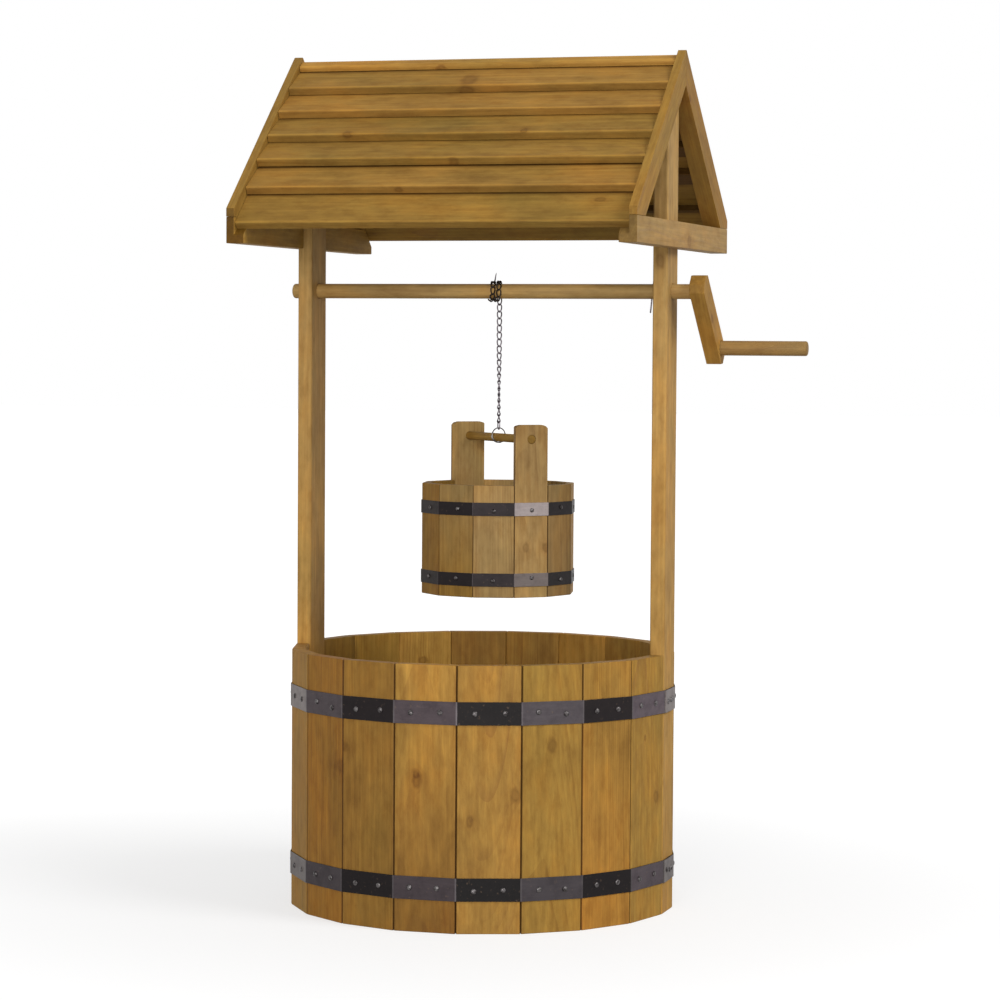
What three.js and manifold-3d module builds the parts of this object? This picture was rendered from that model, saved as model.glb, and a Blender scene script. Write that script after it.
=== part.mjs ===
// Wishing well planter: a coopered wooden tub under a boarded gable roof, with a windlass
// whose crank winds the chain of a small coopered bucket.
// Millimetres, +Z up, +X along the roller towards the crank, +Y to the back.
// The origin is on the tub's axis at ground level.
import * as THREE from 'three';
import { mergeVertices } from 'three/addons/utils/BufferGeometryUtils.js';
import Module from 'manifold-3d';

const wasm = await Module();
wasm.setup();

// Fits between pieces
const seatGap = 0.3;
const staveGap = 0.6;
const turnGap = 0.6;
const cutOverrun = 2;
const weldDistance = 1e-4;

// Posts, which stand in the ring of staves
const postWidth = 57.7;
const postThickness = 19.5;
const postArris = 1.5;

// Tub
const tubCornerRadius = 255;
const tubHeight = 338.5;
const stavesPerSide = 9;
const staveThickness = 17;
const staveArris = 1.4;

// Steel bands of the tub
const bandWidth = 29.3;
const bandThickness = 1.2;
const bandLap = 36;
const bandEndFromMiddle = 9;
const lowerBandBase = 41.4;
const upperBandBase = 263.6;

// Floor of the tub
const bearerWidth = 45;
const bearerHeight = 45;
const floorThickness = 12;
const drainHoleRadius = 7;
const drainHoleRing = 150;
const drainHolesPerPanel = 3;

// Roof frames
const roofPitch = THREE.MathUtils.degToRad(40.2);
const roofHalfDepth = 252;
const eaveTop = 911.2;
const tieBase = 866.7;
const tieHeight = 33.5;
const gableBeyondPost = 15.64;
const lipThickness = 10.5;
const shelfWidth = 13;
const shelfDepth = 26;
const rafterDepth = 36;
const apexRadius = 5;
const mitreGap = 0.6;

// Roof boards, lapped like tiles
const boardsPerSlope = 6;
const boardWidth = 75;
const boardThickness = 10.5;
const lowestBoardWidth = 60.25;
const lowestBoardFromEave = 11.7;
const lowestBoardShows = 71.2;
const topBoardPastRidge = 20.8;
const boardArris = 2.2;
const capReach = 11.5;
const capThickness = 8;
const capArris = 4;
const arcSteps = 3;

// Windlass
const rollerAxisHeight = 810.5;
const rollerRadius = 9.75;
const rollerSides = 20;
const rollerPastPost = 16.04;
const rollerEndRound = 3;
const pinRadius = 1;
const pinSides = 8;
const pinLength = 56;
const pinFromPost = 7;
const pinLean = THREE.MathUtils.degToRad(5.7);
const crankThickness = 20;
const crankFromPost = 27.14;
const crankWidth = 32;
const crankReachBack = 82;
const crankReachDown = 73;
const crankEnd = 22;
const crankCornerCut = 8;
const socketDepth = 15;
const handleRadius = 9.75;
const handleLength = 115.7;

// Curb chain
const linkPitch = 9.2;
const linkWidth = 7.5;
const linkWire = 1.8;
const linkFuse = 0.25;
const linkGap = 0.35;
const leavingGap = 0.8;
const linkTwist = THREE.MathUtils.degToRad(90);
const linkBowShare = 2;
const untwistedShare = 0.3;
const linkSteps = 12;
const wireSides = 6;
const hangingLinkCount = 19;
const swivelLinkCount = 4;
const woundLinkCount = 15;
const chainX = 15.2;
const windRadius = 12.6;
const windSwing = 6.5;
const windPitch = 8.2;
const anchorRadius = 1.1;
const anchorHeight = 14.8;
const anchorBesideLink = 1.5;
const anchorTurn = THREE.MathUtils.degToRad(450);
const anchorLean = THREE.MathUtils.degToRad(10);

// Ring that carries the bucket
const ringDiameter = 21;
const ringWire = 1.6;
const ringSteps = 24;

// Bucket, measured from the dowel that it hangs by
const bucketTurn = THREE.MathUtils.degToRad(-47.8);
const bucketCornerRadius = 102.4;
const plainStavesPerSide = 5;
const handleStaveAngle = THREE.MathUtils.degToRad(27.5);
const bucketStaveThickness = 9.5;
const bucketStaveArris = 0.9;
const dowelRadius = 5.6;
const dowelSides = 16;
const staveTopAboveDowel = 19;
const rimBelowDowel = 60;
const bucketHeight = 146;
const handleStaveRound = 9;
const bucketBandWidth = 17.2;
const bucketBandThickness = 0.9;
const lowerBucketBandBase = 14.6;
const upperBucketBandBase = 106.6;
const bucketBottomRecess = 8;
const bucketBottomThickness = 10;

// Heights and places that follow from the sizes
const postFaceX = Math.sqrt(tubCornerRadius ** 2 - (postWidth / 2) ** 2);
const postInnerX = postFaceX - postThickness;
const postHalfAngle = Math.asin(postWidth / 2 / tubCornerRadius);
const gableOuterX = postFaceX + gableBeyondPost;
const rollerLeftEnd = -postFaceX - rollerPastPost;
const crankInnerX = postFaceX + crankFromPost;
const floorBase = bearerHeight + seatGap;
const roofApex = eaveTop + roofHalfDepth * Math.tan(roofPitch);
const shelfApex = roofApex - shelfDepth / Math.cos(roofPitch);
const lowestBoardEnd = roofHalfDepth / Math.cos(roofPitch) - lowestBoardFromEave;
const lowestBoardUpper = lowestBoardEnd - lowestBoardWidth;
const boardPitch = (lowestBoardUpper - lowestBoardShows + topBoardPastRidge) / (boardsPerSlope - 2);
const lipInnerX = gableOuterX - lipThickness;
const gableInnerX = lipInnerX - shelfWidth;
const tieTop = tieBase + tieHeight;
const rafterInnerApex = roofApex - rafterDepth / Math.cos(roofPitch);
const postTop = shelfApex - (postWidth / 2) * Math.tan(roofPitch) - seatGap;
const linkHalfLength = (linkPitch + linkWire - linkFuse) / 2;
const linkHalfWidth = (linkWidth - linkWire) / 2;
const ringRadius = (ringDiameter - ringWire) / 2;
const windStep = 2 * Math.asin(linkPitch / 2 / windRadius);
const endLinkMiddle = (hangingJoint(hangingLinkCount, 2).z + hangingJoint(hangingLinkCount + 1, 2).z) / 2;
const ringTopWire = endLinkMiddle - linkHalfLength + linkWire / 2 + linkGap + ringWire / 2;
const ringMiddle = ringTopWire - ringRadius;
const dowelHeight = ringMiddle - ringRadius + ringWire / 2 + seatGap + dowelRadius;
const bucketRim = dowelHeight - rimBelowDowel;
const bucketBase = bucketRim - bucketHeight;
const bucketStep = (Math.PI - handleStaveAngle) / plainStavesPerSide;
const handleFace = bucketCornerRadius * Math.cos(handleStaveAngle / 2);

// Materials, with the colours of the photograph
const stavePine = wood(0x8a6a35);
const postPine = wood(0xa98249);
const roofPine = wood(0x9a7a42);
const floorPine = wood(0x7d6238);
const bandSteel = steel(0x4a4a48, 0.45, 0.8);
const chainSteel = steel(0x8d8a8e, 0.4, 0.9);

function wood(color) {
  return new THREE.MeshStandardMaterial({ color, roughness: 0.75, metalness: 0 });
}

function steel(color, roughness, metalness) {
  return new THREE.MeshStandardMaterial({ color, roughness, metalness });
}

// Solids

function weld(geometry) {
  const bare = geometry.clone();
  bare.deleteAttribute('normal');
  bare.deleteAttribute('uv');
  return mergeVertices(bare, weldDistance);
}

function solidOf(geometry) {
  const welded = weld(geometry);
  const mesh = new wasm.Mesh({
    numProp: 3,
    vertProperties: welded.attributes.position.array,
    triVerts: Uint32Array.from(welded.index.array),
  });
  return new wasm.Manifold(mesh);
}

function geometryOf(solid) {
  const mesh = solid.getMesh();
  const geometry = new THREE.BufferGeometry();
  geometry.setAttribute('position', new THREE.BufferAttribute(Float32Array.from(mesh.vertProperties), 3));
  geometry.setIndex(new THREE.BufferAttribute(Uint32Array.from(mesh.triVerts), 1));
  geometry.computeVertexNormals();
  return geometry;
}

function cutAway(body, cutters) {
  let solid = solidOf(body);
  for (const cutter of cutters) {
    solid = solid.subtract(solidOf(cutter));
  }
  return geometryOf(solid);
}

function joinAll(bodies) {
  let solid = solidOf(bodies[0]);
  for (const body of bodies.slice(1)) {
    solid = solid.add(solidOf(body));
  }
  return geometryOf(solid);
}

function shapeOf(outline) {
  return new THREE.Shape(outline.map(([x, y]) => new THREE.Vector2(x, y)));
}

// An outline in X and Y, raised from one height to another
function upright(outline, base, top) {
  const geometry = new THREE.ExtrudeGeometry(shapeOf(outline), { depth: top - base, bevelEnabled: false });
  return geometry.translate(0, 0, base);
}

// An outline in Y and Z, drawn out along X
function alongX(outline, from, to) {
  const geometry = new THREE.ExtrudeGeometry(shapeOf(outline), { depth: to - from, bevelEnabled: false });
  const turn = new THREE.Matrix4().makeBasis(
    new THREE.Vector3(0, 1, 0),
    new THREE.Vector3(0, 0, 1),
    new THREE.Vector3(1, 0, 0),
  );
  return geometry.applyMatrix4(turn).translate(from, 0, 0);
}

// A round bar along X with a chamfered left end
function barAlongX(radius, from, to, sides, chamfer) {
  const profile = [
    new THREE.Vector2(0, from),
    new THREE.Vector2(radius - chamfer, from),
    new THREE.Vector2(radius, from + chamfer),
    new THREE.Vector2(radius, to),
    new THREE.Vector2(0, to),
  ];
  return new THREE.LatheGeometry(profile, sides).rotateZ(-Math.PI / 2);
}

// Outlines

function meetingPoint([px, py], [dx, dy], [qx, qy], [ex, ey]) {
  const share = ((qx - px) * ey - (qy - py) * ex) / (dx * ey - dy * ex);
  return [px + dx * share, py + dy * share];
}

function direction([ax, ay], [bx, by]) {
  const length = Math.hypot(bx - ax, by - ay);
  return [(bx - ax) / length, (by - ay) / length];
}

// Moves every side of a counter-clockwise outline outwards
function offsetOutline(outline, distance) {
  const count = outline.length;
  const sides = outline.map((corner, i) => {
    const along = direction(corner, outline[(i + 1) % count]);
    return { at: [corner[0] + along[1] * distance, corner[1] - along[0] * distance], along };
  });
  return sides.map((side, i) => {
    const before = sides[(i + count - 1) % count];
    return meetingPoint(before.at, before.along, side.at, side.along);
  });
}

// Keeps what lies on the far side of a line, where normal dot point is at least level
function clipOutline(outline, normal, level) {
  const kept = [];
  outline.forEach((corner, i) => {
    const next = outline[(i + 1) % outline.length];
    const here = corner[0] * normal[0] + corner[1] * normal[1] - level;
    const there = next[0] * normal[0] + next[1] * normal[1] - level;
    if (here >= 0) {
      kept.push(corner);
    }
    if (here * there < 0) {
      const share = here / (here - there);
      kept.push([corner[0] + (next[0] - corner[0]) * share, corner[1] + (next[1] - corner[1]) * share]);
    }
  });
  return kept;
}

// Cuts one corner off flat, by the same length on both sides
function chamferCorner(outline, index, cut) {
  const corner = outline[index];
  const before = direction(corner, outline[(index + outline.length - 1) % outline.length]);
  const after = direction(corner, outline[(index + 1) % outline.length]);
  const first = [corner[0] + before[0] * cut, corner[1] + before[1] * cut];
  const second = [corner[0] + after[0] * cut, corner[1] + after[1] * cut];
  return [...outline.slice(0, index), first, second, ...outline.slice(index + 1)];
}

function chamferAll(outline, cut) {
  let cutOutline = outline;
  for (let corner = outline.length - 1; corner >= 0; corner -= 1) {
    cutOutline = chamferCorner(cutOutline, corner, cut);
  }
  return cutOutline;
}

// Rounds one corner with an arc that touches both sides
function roundCorner(outline, index, radius) {
  const corner = outline[index];
  const before = direction(corner, outline[(index + outline.length - 1) % outline.length]);
  const after = direction(corner, outline[(index + 1) % outline.length]);
  const halfAngle = Math.acos(before[0] * after[0] + before[1] * after[1]) / 2;
  const middle = direction([0, 0], [before[0] + after[0], before[1] + after[1]]);
  const toCentre = radius / Math.sin(halfAngle);
  const centre = [corner[0] + middle[0] * toCentre, corner[1] + middle[1] * toCentre];
  const setBack = radius / Math.tan(halfAngle);
  const first = [corner[0] + before[0] * setBack, corner[1] + before[1] * setBack];
  const start = Math.atan2(first[1] - centre[1], first[0] - centre[0]);
  const turn = (Math.PI - 2 * halfAngle) * Math.sign(before[0] * after[1] - before[1] * after[0]) * -1;
  const arc = [];
  for (let step = 0; step <= arcSteps; step += 1) {
    const angle = start + (turn * step) / arcSteps;
    arc.push([centre[0] + radius * Math.cos(angle), centre[1] + radius * Math.sin(angle)]);
  }
  return [...outline.slice(0, index), ...arc, ...outline.slice(index + 1)];
}

function onCircle(radius, angle) {
  return [radius * Math.cos(angle), radius * Math.sin(angle)];
}

// Tub

function staveAngle(side, index) {
  const span = Math.PI - 2 * postHalfAngle;
  return side * Math.PI + postHalfAngle + (span * index) / stavesPerSide;
}

// The corners of the tub, counter-clockwise from the right post
function tubOutline() {
  const corners = [];
  for (let side = 0; side < 2; side += 1) {
    for (let index = 0; index <= stavesPerSide; index += 1) {
      corners.push(onCircle(tubCornerRadius, staveAngle(side, index)));
    }
  }
  return corners;
}

// The side of a stave is a line: beside a post it follows the post, elsewhere it is radial
function staveSide(angle, besidePost, towards) {
  if (besidePost) {
    const y = (postWidth / 2 + staveGap) * Math.sign(Math.sin(angle));
    return { at: [0, y], along: [1, 0] };
  }
  const shift = (staveGap / 2) * towards;
  return { at: [-Math.sin(angle) * shift, Math.cos(angle) * shift], along: onCircle(1, angle) };
}

function staveOutline(side, index) {
  const startAngle = staveAngle(side, index);
  const endAngle = staveAngle(side, index + 1);
  const start = onCircle(tubCornerRadius, startAngle);
  const end = onCircle(tubCornerRadius, endAngle);
  const along = direction(start, end);
  const inner = [start[0] - along[1] * staveThickness, start[1] + along[0] * staveThickness];
  const first = staveSide(startAngle, index === 0, 1);
  const last = staveSide(endAngle, index === stavesPerSide - 1, -1);
  let outline = [
    meetingPoint(start, along, first.at, first.along),
    meetingPoint(start, along, last.at, last.along),
    meetingPoint(inner, along, last.at, last.along),
    meetingPoint(inner, along, first.at, first.along),
  ];
  outline = chamferCorner(outline, 1, staveArris);
  return chamferCorner(outline, 0, staveArris);
}

function tubStave(side, index) {
  return upright(staveOutline(side, index), 0, tubHeight);
}

// A post, with a hole that the roller turns in
function post(side) {
  const x = [side * postInnerX, side * postFaceX].sort((a, b) => a - b);
  const outline = chamferAll([
    [x[0], -postWidth / 2],
    [x[1], -postWidth / 2],
    [x[1], postWidth / 2],
    [x[0], postWidth / 2],
  ], postArris);
  const hole = barAlongX(rollerRadius + turnGap, x[0] - cutOverrun, x[1] + cutOverrun, rollerSides, 0);
  return cutAway(upright(outline, 0, postTop), [hole.translate(0, 0, rollerAxisHeight)]);
}

// A flat steel band bent round the staves, its two ends lapped on the post by the crank
function tubBand(base) {
  const inner = offsetOutline(tubOutline(), seatGap);
  const outer = offsetOutline(tubOutline(), seatGap + bandThickness);
  const x = outer[0][0];
  const lap = [
    [x, bandEndFromMiddle - bandLap],
    [x + bandThickness, bandEndFromMiddle - bandLap],
    [x + bandThickness, bandEndFromMiddle],
    [x, bandEndFromMiddle],
  ];
  return bandOf([...outer, ...lap], inner, base, bandWidth);
}

function bandOf(outer, inner, base, width) {
  const shape = shapeOf(outer);
  shape.holes.push(new THREE.Path(inner.map(([x, y]) => new THREE.Vector2(x, y))));
  const geometry = new THREE.ExtrudeGeometry(shape, { depth: width, bevelEnabled: false });
  return geometry.translate(0, 0, base);
}

function floorBearer() {
  const reach = postInnerX - seatGap;
  const outline = [
    [-reach, -bearerWidth / 2],
    [reach, -bearerWidth / 2],
    [reach, bearerWidth / 2],
    [-reach, bearerWidth / 2],
  ];
  return upright(outline, 0, bearerHeight);
}

// Half of the floor, from the middle of the bearer to the staves, with its drain holes
function floorPanel(side) {
  const reach = postInnerX - seatGap;
  const inside = offsetOutline(tubOutline(), -staveThickness - seatGap);
  const half = clipOutline(inside, [0, side], seatGap);
  const outline = clipOutline(clipOutline(half, [1, 0], -reach), [-1, 0], -reach);
  const holes = [];
  for (let index = 1; index <= drainHolesPerPanel; index += 1) {
    const [x, y] = onCircle(drainHoleRing, (side * Math.PI * index) / (drainHolesPerPanel + 1));
    const depth = floorThickness + 2 * cutOverrun;
    const hole = new THREE.CylinderGeometry(drainHoleRadius, drainHoleRadius, depth, rollerSides);
    holes.push(hole.rotateX(Math.PI / 2).translate(x, y, floorBase + floorThickness / 2));
  }
  return cutAway(upright(outline, floorBase, floorBase + floorThickness), holes);
}

// Roof

// A point on a slope: down from the ridge along the shelves, and square out of it
function onSlope(side, down, out) {
  const y = down * Math.cos(roofPitch) + out * Math.sin(roofPitch);
  const z = shelfApex - down * Math.sin(roofPitch) + out * Math.cos(roofPitch);
  return [side * y, z];
}

// Where each lapped board lies: its upper edge on the shelf, its underside on the board below
function boardPlaces() {
  const places = [{ upper: lowestBoardUpper, tilt: 0 }];
  for (let index = 1; index < boardsPerSlope; index += 1) {
    const below = places[index - 1];
    const shows = index === 1 ? lowestBoardShows : boardPitch;
    const upper = below.upper - shows;
    const edgeDown = below.upper - boardThickness * Math.sin(below.tilt);
    const edgeOut = boardThickness * Math.cos(below.tilt) + seatGap;
    places.push({ upper, tilt: Math.atan2(edgeOut, edgeDown - upper) });
  }
  return places;
}

// A point of a board: along it from its upper edge, and up through its thickness
function onBoard(side, place, along, up) {
  const down = place.upper + along * Math.cos(place.tilt) - up * Math.sin(place.tilt);
  const out = seatGap + along * Math.sin(place.tilt) + up * Math.cos(place.tilt);
  return onSlope(side, down, out);
}

function roofBoard(side, index) {
  const place = boardPlaces()[index];
  const width = index === 0 ? lowestBoardWidth : boardWidth;
  const board = [
    onBoard(side, place, 0, 0),
    onBoard(side, place, width, 0),
    onBoard(side, place, width, boardThickness),
    onBoard(side, place, 0, boardThickness),
  ];
  const outline = clipOutline(roundCorner(board, 2, boardArris), [side, 0], mitreGap / 2);
  return alongX(outline, -lipInnerX + seatGap, lipInnerX - seatGap);
}

// The ridge cap bears on the top boards of both slopes
function ridgeCap() {
  const place = boardPlaces()[boardsPerSlope - 1];
  const low = onBoard(1, place, 0, boardThickness + seatGap);
  const high = onBoard(1, place, boardWidth, boardThickness + seatGap);
  const along = direction(low, high);
  const ridge = meetingPoint(low, along, [0, 0], [0, 1]);
  const half = [
    ridge,
    [ridge[0] + along[0] * capReach, ridge[1] + along[1] * capReach],
    [
      ridge[0] + along[0] * capReach - along[1] * capThickness,
      ridge[1] + along[1] * capReach + along[0] * capThickness,
    ],
    [0, ridge[1] + capThickness / along[0]],
  ];
  const rounded = roundCorner(half, 2, capArris);
  const mirrored = rounded.slice(1, -1).reverse().map(([y, z]) => [-y, z]);
  return alongX([...rounded, ...mirrored], -lipInnerX + seatGap, lipInnerX - seatGap);
}

// The rebate that the ends of the roof boards lie in, across one slope
function rebate(end, side) {
  const past = gableOuterX + rafterDepth;
  const outline = [
    onSlope(side, -past, 0),
    onSlope(side, 2 * past, 0),
    onSlope(side, 2 * past, past),
    onSlope(side, -past, past),
  ];
  return between(end, outline, gableInnerX - cutOverrun, lipInnerX);
}

// The housing that the head of a post fits in
function postHousing(end) {
  const halfWidth = postWidth / 2 + seatGap;
  const outline = [
    [-halfWidth, tieBase - cutOverrun],
    [halfWidth, tieBase - cutOverrun],
    [halfWidth, postTop + seatGap],
    [-halfWidth, postTop + seatGap],
  ];
  return between(end, outline, gableInnerX - cutOverrun, postFaceX + seatGap);
}

// An outline drawn out along X between two distances from the middle, at one end of the roof
function between(end, outline, near, far) {
  return end > 0 ? alongX(outline, near, far) : alongX(outline, -far, -near);
}

function rafter(end, side) {
  const slope = Math.tan(roofPitch);
  const centreHeight = roofApex - apexRadius / Math.cos(roofPitch);
  const tip = [];
  for (let step = 0; step <= arcSteps; step += 1) {
    const angle = (roofPitch * step) / arcSteps;
    tip.push([apexRadius * Math.sin(angle), centreHeight + apexRadius * Math.cos(angle)]);
  }
  const whole = [
    ...tip,
    [roofHalfDepth, eaveTop],
    [roofHalfDepth, tieTop + seatGap],
    [(rafterInnerApex - tieTop - seatGap) / slope, tieTop + seatGap],
    [0, rafterInnerApex],
  ];
  const outline = clipOutline(whole, [1, 0], mitreGap / 2).map(([y, z]) => [side * y, z]);
  const blank = between(end, outline, gableInnerX, gableOuterX);
  return cutAway(blank, [rebate(end, side), postHousing(end)]);
}

function gableTie(end) {
  const outline = [
    [-roofHalfDepth, tieBase],
    [roofHalfDepth, tieBase],
    [roofHalfDepth, tieTop],
    [-roofHalfDepth, tieTop],
  ];
  const blank = between(end, outline, gableInnerX, gableOuterX);
  return cutAway(blank, [rebate(end, 1), rebate(end, -1), postHousing(end)]);
}

// Windlass

// The roller, with the pin through it that keeps it from sliding out of the posts
function roller() {
  const bar = barAlongX(rollerRadius, rollerLeftEnd, crankInnerX + socketDepth, rollerSides, rollerEndRound);
  const pin = new THREE.CylinderGeometry(pinRadius, pinRadius, pinLength, pinSides);
  pin.rotateX(Math.PI / 2).rotateY(pinLean).translate(postInnerX - pinFromPost, 0, 0);
  return joinAll([bar, pin]).translate(0, 0, rollerAxisHeight);
}

function crankArm() {
  const length = Math.hypot(crankReachBack, crankReachDown);
  const outline = chamferAll([
    [-crankEnd, -crankWidth / 2],
    [length + crankEnd, -crankWidth / 2],
    [length + crankEnd, crankWidth / 2],
    [-crankEnd, crankWidth / 2],
  ], crankCornerCut);
  const outerX = crankInnerX + crankThickness;
  const blank = alongX(outline, crankInnerX, outerX).rotateX(-Math.atan2(crankReachDown, crankReachBack));
  const socketEnd = crankInnerX + socketDepth + seatGap;
  const socketStart = crankInnerX - cutOverrun;
  const rollerSocket = barAlongX(rollerRadius + seatGap, socketStart, socketEnd, rollerSides, 0);
  const handleStart = outerX - socketDepth - seatGap;
  const handleSocket = barAlongX(handleRadius + seatGap, handleStart, outerX + cutOverrun, rollerSides, 0);
  handleSocket.translate(0, crankReachBack, -crankReachDown);
  return cutAway(blank, [rollerSocket, handleSocket]).translate(0, 0, rollerAxisHeight);
}

function crankHandle() {
  const from = crankInnerX + crankThickness - socketDepth;
  const to = crankInnerX + crankThickness + handleLength;
  const bar = barAlongX(handleRadius, -to, -from, rollerSides, rollerEndRound).rotateZ(Math.PI);
  return bar.translate(0, crankReachBack, rollerAxisHeight - crankReachDown);
}

// Chain

// The middle line of one link: two straights and two bows, twisted about its length
class LinkCurve extends THREE.Curve {
  constructor(twist) {
    super();
    this.twist = twist;
  }

  getPoint(share, target = new THREE.Vector3()) {
    const straight = linkHalfLength - linkHalfWidth;
    const angle = share * 2 * Math.PI;
    const across = linkHalfWidth * Math.cos(angle);
    const along = linkHalfWidth * Math.sin(angle) + straight * Math.tanh(linkBowShare * Math.sin(angle));
    const turn = (this.twist * along) / (2 * linkHalfLength);
    return target.set(across * Math.cos(turn), across * Math.sin(turn), along);
  }
}

// One link between two joints, its width along the given direction
function link(top, bottom, width, twist) {
  const along = new THREE.Vector3().subVectors(top, bottom).normalize();
  const across = width.clone().addScaledVector(along, -width.dot(along)).normalize();
  const through = new THREE.Vector3().crossVectors(along, across);
  const place = new THREE.Matrix4().makeBasis(across, through, along);
  place.setPosition(new THREE.Vector3().addVectors(top, bottom).multiplyScalar(0.5));
  const tube = new THREE.TubeGeometry(new LinkCurve(twist), linkSteps, linkWire / 2, wireSides, true);
  return tube.applyMatrix4(place);
}

// A point of the wound chain: it leaves the roller level with its axis, at the back, and each
// turn swings out along the roller and back past where it began
function woundPoint(step) {
  const angle = windStep * step;
  const turns = Math.floor(angle / (2 * Math.PI));
  const inTurn = angle - turns * 2 * Math.PI;
  const out = THREE.MathUtils.smoothstep(inTurn, 0, Math.PI);
  const back = THREE.MathUtils.smoothstep(inTurn, Math.PI, 2 * Math.PI);
  const x = chainX + windSwing * out - (windSwing + windPitch) * back - windPitch * turns;
  return new THREE.Vector3(x, windRadius * Math.cos(angle), rollerAxisHeight + windRadius * Math.sin(angle));
}

// The turns of chain on the roller, and the nail through the second turn that holds them
function woundChain() {
  const links = [];
  const alongRoller = new THREE.Vector3(1, 0, 0);
  for (let index = 0; index < woundLinkCount; index += 1) {
    links.push(link(woundPoint(index + 1), woundPoint(index), alongRoller, linkTwist));
  }
  const fastened = woundPoint(anchorTurn / windStep);
  const nail = new THREE.CylinderGeometry(0, anchorRadius, anchorHeight, pinSides);
  nail.rotateX(Math.PI / 2).translate(0, 0, anchorHeight / 2).rotateY(anchorLean);
  nail.translate(fastened.x + anchorBesideLink, 0, rollerAxisHeight + rollerRadius + seatGap);
  return joinAll([...links, nail]);
}

// The joint above a hanging link, which drops by a small gap wherever a new piece starts
function hangingJoint(index, piece) {
  const first = rollerAxisHeight + linkFuse + leavingGap;
  return new THREE.Vector3(chainX, windRadius, first - index * linkPitch + piece * (linkFuse + linkGap));
}

function hangingLink(index, piece, turn, twist) {
  const width = new THREE.Vector3(Math.cos(turn), Math.sin(turn), 0);
  return link(hangingJoint(index, piece), hangingJoint(index + 1, piece), width, twist);
}

// A stretch of the hanging chain, which turns its edge to the bucket's side on its way down
function chainStretch(first, count, piece) {
  const links = [];
  for (let index = first; index < first + count; index += 1) {
    const share = THREE.MathUtils.smoothstep(index / (hangingLinkCount - 1), untwistedShare, 1);
    links.push(hangingLink(index, piece, (bucketTurn - linkTwist / 2) * share, linkTwist));
  }
  return joinAll(links);
}

// The links that shorten and lengthen as the roller turns
function hangingChain() {
  return chainStretch(0, hangingLinkCount - swivelLinkCount, 0);
}

// The lowest links, which twist as the bucket turns
function swivelChain() {
  return chainStretch(hangingLinkCount - swivelLinkCount, swivelLinkCount, 1);
}

// The plain link between the chain and the ring
function endLink() {
  return hangingLink(hangingLinkCount, 2, bucketTurn, 0);
}

// The ring stands square to the dowel that it carries
function bucketRing() {
  const ring = new THREE.TorusGeometry(ringRadius, ringWire / 2, wireSides, ringSteps);
  ring.rotateX(Math.PI / 2).rotateZ(bucketTurn + Math.PI / 2);
  return ring.translate(chainX, windRadius, ringMiddle);
}

// Bucket

function bucketStaveAngle(side, index) {
  return side * Math.PI + handleStaveAngle / 2 + bucketStep * index;
}

function bucketOutline() {
  const corners = [];
  for (let side = 0; side < 2; side += 1) {
    for (let index = 0; index <= plainStavesPerSide; index += 1) {
      corners.push(onCircle(bucketCornerRadius, bucketStaveAngle(side, index)));
    }
  }
  return corners;
}

// Moves a piece made round the bucket's own axis, dowel along X, to where the bucket hangs
function hang(geometry) {
  return geometry.rotateZ(bucketTurn).translate(chainX, windRadius, 0);
}

// The plain staves between the two handle staves, with a groove at each joint
function bucketStaves(side) {
  const count = plainStavesPerSide;
  const outer = [];
  const inner = [];
  const innerRadius = bucketCornerRadius - bucketStaveThickness / Math.cos(bucketStep / 2);
  for (let index = 0; index <= count; index += 1) {
    const angle = bucketStaveAngle(side, index);
    const groove = bucketStaveArris / bucketCornerRadius;
    if (index > 0) {
      outer.push(onCircle(bucketCornerRadius, angle - groove));
    }
    if (index > 0 && index < count) {
      outer.push(onCircle(bucketCornerRadius - bucketStaveArris, angle));
    }
    if (index < count) {
      outer.push(onCircle(bucketCornerRadius, angle + groove));
    }
    inner.unshift(onCircle(innerRadius, angle));
  }
  const start = bucketStaveAngle(side, 0);
  const end = bucketStaveAngle(side, count);
  const whole = [...outer, ...inner];
  const first = clipOutline(whole, [-Math.sin(start), Math.cos(start)], staveGap / 2);
  const outline = clipOutline(first, [Math.sin(end), -Math.cos(end)], staveGap / 2);
  return hang(upright(outline, bucketBase, bucketRim));
}

// A handle stave rises past the rim, with round shoulders and a hole for the dowel
function handleStave(side) {
  const top = dowelHeight + staveTopAboveDowel;
  const halfFace = bucketCornerRadius * Math.sin(handleStaveAngle / 2) - staveGap / 2;
  const innerFace = handleFace - bucketStaveThickness;
  const halfInner = halfFace - bucketStaveThickness * Math.tan(handleStaveAngle / 2);
  let section = [
    [side * innerFace, -side * halfInner],
    [side * handleFace, -side * halfFace],
    [side * handleFace, side * halfFace],
    [side * innerFace, side * halfInner],
  ];
  section = chamferCorner(section, 2, bucketStaveArris);
  section = chamferCorner(section, 1, bucketStaveArris);
  let face = [
    [-halfFace - cutOverrun, bucketBase - cutOverrun],
    [halfFace + cutOverrun, bucketBase - cutOverrun],
    [halfFace + cutOverrun, top],
    [-halfFace - cutOverrun, top],
  ];
  face = roundCorner(face, 3, handleStaveRound + cutOverrun);
  face = roundCorner(face, 2, handleStaveRound + cutOverrun);
  const reach = [side * (innerFace - cutOverrun), side * (handleFace + cutOverrun)].sort((a, b) => a - b);
  const hole = barAlongX(dowelRadius + seatGap, reach[0] - cutOverrun, reach[1] + cutOverrun, dowelSides, 0);
  const body = solidOf(upright(section, bucketBase, top + cutOverrun));
  const shaped = body.intersect(solidOf(alongX(face, ...reach)));
  return hang(geometryOf(shaped.subtract(solidOf(hole.translate(0, 0, dowelHeight)))));
}

function bucketDowel() {
  return hang(barAlongX(dowelRadius, -handleFace, handleFace, dowelSides, 0).translate(0, 0, dowelHeight));
}

function bucketBottom() {
  const outline = offsetOutline(bucketOutline(), -bucketStaveThickness - seatGap);
  const base = bucketBase + bucketBottomRecess;
  return hang(upright(outline, base, base + bucketBottomThickness));
}

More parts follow.
